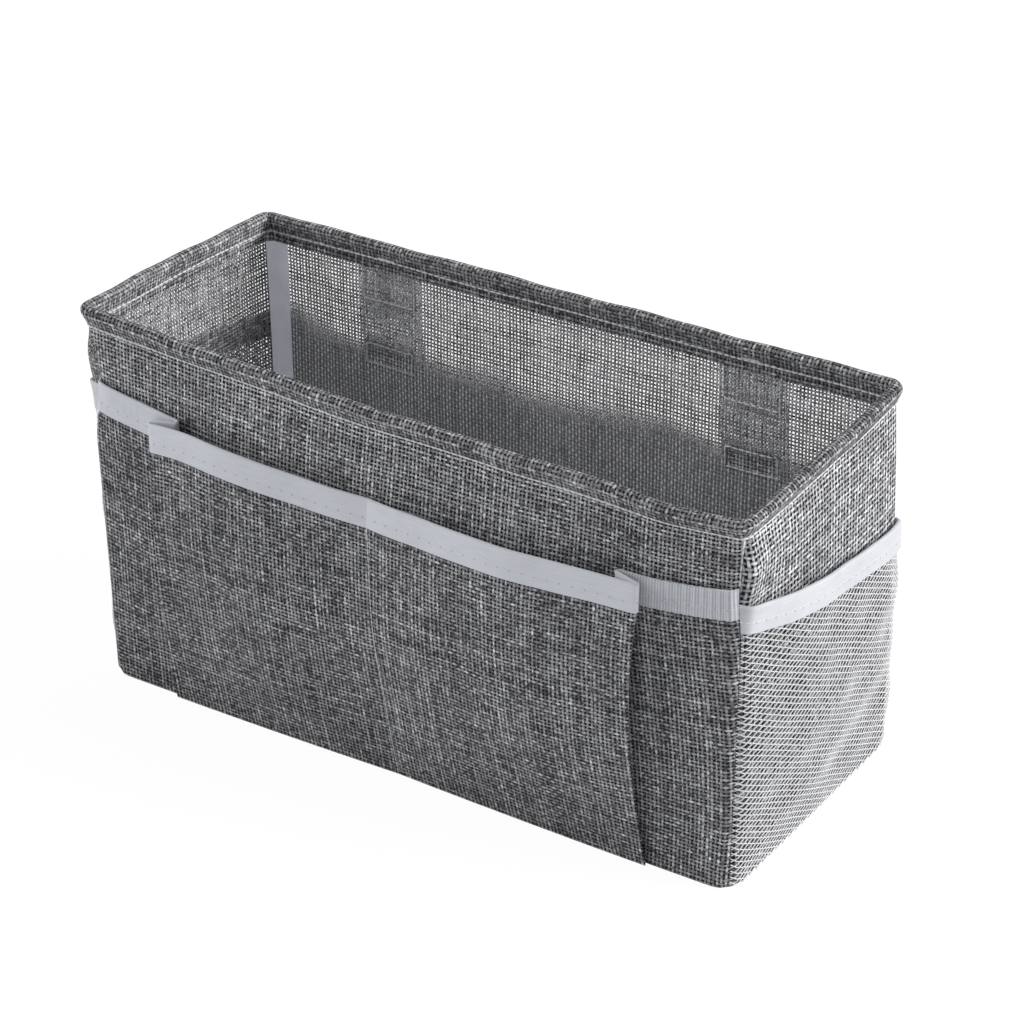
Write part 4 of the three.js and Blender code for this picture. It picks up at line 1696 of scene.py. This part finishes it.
@dataclass
class HangingStrap:
    """A strap on the back: a sewn anchor, a free strap below it and a pair of gripping tapes."""

    kit: Kit
    hand: Hand
    centre: float
    width: float = 30 * MM
    grip_width: float = 26 * MM
    grip_height: float = 12 * MM
    grip: float = 0.9 * MM
    webbing: float = 1.3 * MM
    anchor_top: float = 149 * MM
    hinge: float = 133 * MM
    end: float = 104 * MM
    gap: float = 0.3 * MM
    tack: float = 8 * MM
    tack_drop: float = 7 * MM
    tack_pitch: float = 0.6 * MM
    tack_out: float = -1.7 * MM
    inside: float = -0.9 * MM
    crown: float = 0.25 * MM
    cut_start: float = 3.0
    columns: int = 13
    rows: int = 8
    smoothed: int = 5
    edge: float = 2.5 * MM
    grip_edge: float = 1.5 * MM
    grip_foot: float = 1.8 * MM
    stitch_out: float = 0.1 * MM
    sewing: Sewing = Sewing(2.4 * MM, 2.0 * MM, 0.4 * MM, seed=7)

    @property
    def body(self) -> str:
        """The body that the free strap moves with."""
        return f"{self.hand.word}_strap"

    @property
    def loop_out(self) -> float:
        """Middle of the loop tape."""
        return self.grip / 2 - self.gap

    @property
    def hook_out(self) -> float:
        """Middle of the hook tape."""
        return self.loop_out + self.grip + self.gap / 3

    @property
    def strap_out(self) -> float:
        """Middle of the free strap where it lies over the tapes."""
        return self.hook_out + self.grip / 2 + self.webbing / 2

    @property
    def anchor_out(self) -> float:
        """Middle of the anchor."""
        return self.webbing / 2 - self.gap

    def strip(self, name: str, finish: str, line: Sequence[tuple[float, float]], body: str) -> None:
        """Makes one strip on the back wall.

        Args:
            name: The CAD node that it stands for.
            finish: Its finish, which also tells webbing from gripping tape.
            line: Pairs of distance out and height from its foot to its head.
            body: The body that it moves with.
        """
        woven = finish == "webbing"
        width, thickness = (self.width, self.webbing) if woven else (self.grip_width, self.grip)
        out, up = drawn(line, self.rows)
        padded = np.pad(out, self.smoothed // 2, mode="edge")
        out = np.convolve(padded, np.ones(self.smoothed) / self.smoothed, mode="valid")
        share = np.linspace(-1, 1, self.columns)[None, :]
        along = -self.hand.value * self.centre + width * share / 2
        crowned = out[:, None] - self.crown * share**6
        middle = self.kit.shape.place(Side.BACK, along, crowned, up[:, None])
        cut = np.stack([lengths(middle, 1) + self.cut_start, lengths(middle, 0)], axis=-1)
        kinds = self.kit.finish
        faces = (kinds[finish], kinds.get(f"{finish}_inside"))
        piece = closed_sheet(f"{name}_cloth", middle, cut, thickness, *faces)
        settle(piece, [name], body)

    def build(self) -> None:
        """Makes the anchor, the strap and the two gripping tapes."""
        word = self.hand.word
        bend = self.end + self.grip_height + self.gap
        top = self.hinge - self.gap
        low, high = self.end + self.gap, self.end + self.grip_height
        anchor = [(self.anchor_out, self.hinge), (self.anchor_out, self.anchor_top)]
        strap = [
            (self.strap_out, self.end),
            (self.strap_out, bend),
            (self.anchor_out, top - self.webbing),
            (self.anchor_out, top),
        ]
        self.strip(f"{word}_strap_anchor", "webbing", anchor, BODY)
        self.strip(f"{word}_strap", "webbing", strap, self.body)
        self.strip(f"{word}_loop_tape", "loops", [(self.loop_out, low), (self.loop_out, high)], BODY)
        self.strip(f"{word}_hook_tape", "hooks", [(self.hook_out, low), (self.hook_out, high)], self.body)

    def wall_lines(self) -> list[Grid]:
        """Stitches that hold the anchor, in a box with a cross, and the loop tape to the back wall."""
        side = self.width / 2 - self.edge
        low, high = self.hinge + self.edge, self.anchor_top - self.edge
        box = [(-side, low), (side, low), (side, high), (-side, high), (-side, low), (side, high)]
        cross = [(side, low), (-side, high)]
        shown = [(-side, self.anchor_top), (-side, low), (side, low), (side, self.anchor_top)]
        out = self.anchor_out + self.webbing / 2 + self.stitch_out
        lines = [self._sewn(box, out), self._sewn(cross, out), self._sewn(shown, self.inside)]
        return [*lines, self._grip_box(self.inside)]

    def tack_lines(self) -> list[Grid]:
        """A close bar of stitches on the inner hem above the anchor."""
        top = self.kit.shape.height - self.tack_drop
        rows = top + self.tack_pitch * np.arange(-1, 2)
        half = self.tack / 2
        return [self._sewn([(-half, up), (half, up)], self.tack_out) for up in rows]

    def _grip_box(self, out: float) -> Grid:
        """A line round a gripping tape, at a distance out of the back wall."""
        side = self.grip_width / 2 - self.grip_edge
        low, high = self.end + self.grip_foot, self.end + self.grip_height - self.grip_edge
        return self._sewn([(-side, low), (side, low), (side, high), (-side, high), (-side, low)], out)

    def _sewn(self, corners: Sequence[tuple[float, float]], out: float) -> Grid:
        """A line of close points through corners on the back wall, counted from the strap's middle."""
        along, up = drawn(corners, LINE_POINTS)
        return self.kit.shape.place(Side.BACK, along - self.hand.value * self.centre, out, up)

    def sew(self) -> None:
        """Lays the stitches across the end of the free strap, which hold the hook tape."""
        box = self._grip_box(self.strap_out + self.webbing / 2 + self.stitch_out)
        self.sewing.lay(self.kit, f"{self.hand.word}_strap_sewing", [box], body=self.body)


@dataclass
class ThreadEnds:
    """The bar tacks on the hem, and a loose thread that hangs inside the left end wall."""

    kit: Kit
    top: float = 145 * MM
    foot: float = 126 * MM
    along: float = -38 * MM
    sway: float = 0.8 * MM
    sway_rate: float = 160
    out: float = -1.6 * MM
    radius: float = 0.34 * MM

    def build(self, tacks: Sequence[Grid]) -> None:
        """Makes one piece of the tacks' lines and the loose thread."""
        up = np.linspace(self.top, self.foot, LINE_POINTS)
        along = self.along + self.sway * np.sin(up * self.sway_rate)
        loose = self.kit.shape.place(Side.LEFT, along, self.out, up)
        piece = chains("thread_ends", [*tacks, loose])
        self.kit.strands.dress(piece, radius=self.radius, sides=6, material=self.kit.finish["thread"])
        settle(piece)


# Stage


@dataclass
class Stage:
    """The floor, the light and the camera."""

    eye: tuple[float, float, float] = (0.6964, -1.0601, 0.8096)
    azimuth: float = 32.72
    elevation: float = 29.43
    focal_pixels: float = 3714.1
    frame_pixels: float = 1024.0
    sensor: float = 36.0
    far: float = 20.0
    floor_half: float = 6.0
    floor_white: float = 1.05
    shadow: float = 0.1
    sky: float = 0.34
    lamp_spread: float = 35.0
    key: float = 3.2
    key_from: tuple[float, float, float] = (0.82, 0.4, 0.48)
    fill: float = 1.8
    fill_from: tuple[float, float, float] = (-0.94, -0.32, 0.36)

    def floor(self) -> None:
        """A pale floor that is white to the camera and keeps a little of the object's shadow."""
        mesh = bpy.data.meshes.new("floor")
        size = self.floor_half
        corners = [(-size, -size, 0), (size, -size, 0), (size, size, 0), (-size, size, 0)]
        mesh.from_pydata(corners, [], [(0, 1, 2, 3)])
        piece = new_object("floor", mesh)
        s = Surface("floor")
        s.set(base_color=(0.82, 0.82, 0.83), roughness=0.9, specular_ior_level=0.1)
        path = s.node("ShaderNodeLightPath", out="Is Camera Ray")
        glow = {"Color": (1.0, 1.0, 1.0), "Strength": self.floor_white}
        white = s.node("ShaderNodeEmission", sockets=glow)
        share = path * (1.0 - self.shadow)
        lit = Value(s, s.shader.outputs[0])
        mixed = s.node("ShaderNodeMixShader", sockets={0: share, 1: lit, 2: white})
        output = next(n for n in s.tree.nodes if n.bl_idname == "ShaderNodeOutputMaterial")
        s.feed(output.inputs["Surface"], mixed)
        mesh.materials.append(s.material)
        piece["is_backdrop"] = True

    def light(self) -> None:
        """An even sky, a soft key from the right and a weaker fill from the left."""
        world = bpy.data.worlds.new("studio")
        world.use_nodes = True
        sky = world.node_tree.nodes["Background"]
        sky.inputs["Color"].default_value = (0.97, 0.985, 1.0, 1.0)
        sky.inputs["Strength"].default_value = self.sky
        bpy.context.scene.world = world
        self.lamp("key", self.key, self.key_from)
        self.lamp("fill", self.fill, self.fill_from)

    def lamp(self, name: str, energy: float, source: tuple[float, float, float]) -> None:
        """One broad, distant lamp that shines from a direction."""
        sun = bpy.data.lights.new(name, "SUN")
        sun.energy = energy
        sun.angle = math.radians(self.lamp_spread)
        lamp = bpy.data.objects.new(name, sun)
        lamp.rotation_mode = "QUATERNION"
        lamp.rotation_quaternion = Vector(source).to_track_quat("Z", "Y")
        bpy.context.scene.collection.objects.link(lamp)

    def camera(self) -> None:
        """The camera at the photograph's viewing angle."""
        data = bpy.data.cameras.new("camera")
        data.sensor_width = self.sensor
        data.lens = self.focal_pixels * self.sensor / self.frame_pixels
        data.clip_end = self.far
        piece = bpy.data.objects.new("camera", data)
        turn, tilt = math.radians(self.azimuth), math.radians(self.elevation)
        back = Vector((math.sin(turn) * math.cos(tilt), -math.cos(turn) * math.cos(tilt), math.sin(tilt)))
        piece.rotation_mode = "QUATERNION"
        piece.rotation_quaternion = (-back).to_track_quat("-Z", "Y")
        piece.location = self.eye
        bpy.context.scene.collection.objects.link(piece)
        bpy.context.scene.camera = piece
        bpy.context.scene.view_settings.view_transform = "Standard"

    def build(self) -> None:
        """Sets up the stage."""
        self.floor()
        self.light()
        self.camera()


# The caddy


def make_finishes() -> dict[str, bpy.types.Material]:
    """Every finish by name."""
    # Below 118 mm the back wall's holes are closed, and its inner face shows a painted shadow there
    back = {"open": True, "pitch": 1.6 * MM, "yarn": 0.25, "painted_shadow_top": 118 * MM, "uneven": 0.6}
    within = {"pitch": 1.6 * MM, "yarn": 0.52, "uneven": 0.4}
    finishes = {
        "linen": Linen("linen"),
        "open_linen": Linen("open_linen", open=True, paler=-0.1),
        # The pocket cloth is a tone darker than linen: painted shade, meant for the right wing in the
        # pleat's shade, laid over both pockets
        "shaded_pocket_linen": Linen("shaded_pocket_linen", paler=-0.07),
        # end_linen is a tone darker below the net's mouth: painted shade for the net's shade on the wall
        "end_linen": Linen("end_linen", pitch=2.3 * MM, yarn=0.25, paler=0.12, shade=0.25),
        "back_linen": Linen("back_linen", paler=-0.05, **back),
        # The back wall's inner face: painted shadow in its lower holes, and a faint glow that is painted
        # light
        "shadowed_back_linen": Linen("shadowed_back_linen", paler=0.05, paints_shadow=True, glow=0.05, **back),
        "hem": Linen("hem", yarn=0.32, paler=-0.08),
        "lining": Linen("lining", yarn=0.42, wander=0.3),
        "webbing": Linen("webbing", pitch=1.2 * MM, yarn=0.4),
        # The strap's inner face glows strongly: painted light, for light through the webbing
        "webbing_inside": Linen("webbing_inside", paler=0.12, glow=0.6, **within),
        "elastic": Elastic(),
        "net_elastic": Elastic("net_elastic", (0.62, 0.63, 0.66)),
        "netting": Yarn("netting", (0.87, 0.87, 0.88)),
        "thread": Yarn("thread", (0.86, 0.86, 0.88)),
        "seam_tape": Twill(),
        "hooks": Gripping("hooks", hooked=True),
        "loops": Gripping("loops", hooked=False),
        "wire": DrawnWire(),
    }
    return {name: finish.make() for name, finish in finishes.items()}


def main() -> None:
    """Builds the caddy on its frame, then the stage."""
    logging.basicConfig(level=logging.INFO, format="%(name)s: %(message)s")
    low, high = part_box("bottom_panel")
    shape = TrayShape(centre=(low.y + high.y) / 2)
    kit = Kit(shape, make_finishes(), StitchRow(), Strands())
    walls = [
        Wall(kit, Side.FRONT, "front_panel", 90),
        Wall(kit, Side.RIGHT, "right_end_panel", 46, finish="end_linen"),
        Wall(kit, Side.BACK, "back_panel", 90, finish="back_linen", inside="shadowed_back_linen"),
        Wall(kit, Side.LEFT, "left_end_panel", 46, finish="open_linen"),
    ]
    for wall in walls:
        wall.build()
    Base(kit).build()
    SeamTapes(kit).build()
    RimWire(kit).build()
    pockets = [
        FrontPocket(kit, Hand.LEFT, fold=111 * MM, mouth_layer=2.6 * MM, pucker=0.04 * MM, droop=3.5 * MM),
        FrontPocket(kit, Hand.RIGHT, fold=110 * MM, fold_bow=2.6 * MM),
    ]
    nets = [
        NetPocket(
            kit,
            Hand.LEFT,
            mouth=130 * MM,
            fall=14 * MM,
            mouth_stand=0.9 * MM,
            end_stand=0.3 * MM,
            tape_side=0.5 * MM,
        ),
        NetPocket(kit, Hand.RIGHT, mouth=126.5 * MM, fall=23.5 * MM),
    ]
    straps = [HangingStrap(kit, Hand.LEFT, centre=87 * MM), HangingStrap(kit, Hand.RIGHT, centre=84 * MM)]
    for part in (*pockets, *nets, *straps):
        part.build()
        part.sew()
    hems = [line for wall in walls for line in wall.hem_lines()]
    boxes = [line for strap in straps for line in strap.wall_lines()]
    walls[0].sewing.lay(kit, "hem_sewing", [*hems, *boxes, walls[0].corner_line()])
    pockets[1].divider_sewing.lay(kit, "divider_sewing", [pockets[1].seam_line()])
    ThreadEnds(kit).build([line for strap in straps for line in strap.tack_lines()])
    Stage().build()
    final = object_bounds()
    sizes = {"cad": [list(corner) for corner in CAD_BOX], "visual": [list(corner) for corner in final]}
    LOG.info("visual box %s", sizes["visual"])


if __name__ == "__main__":
    main()
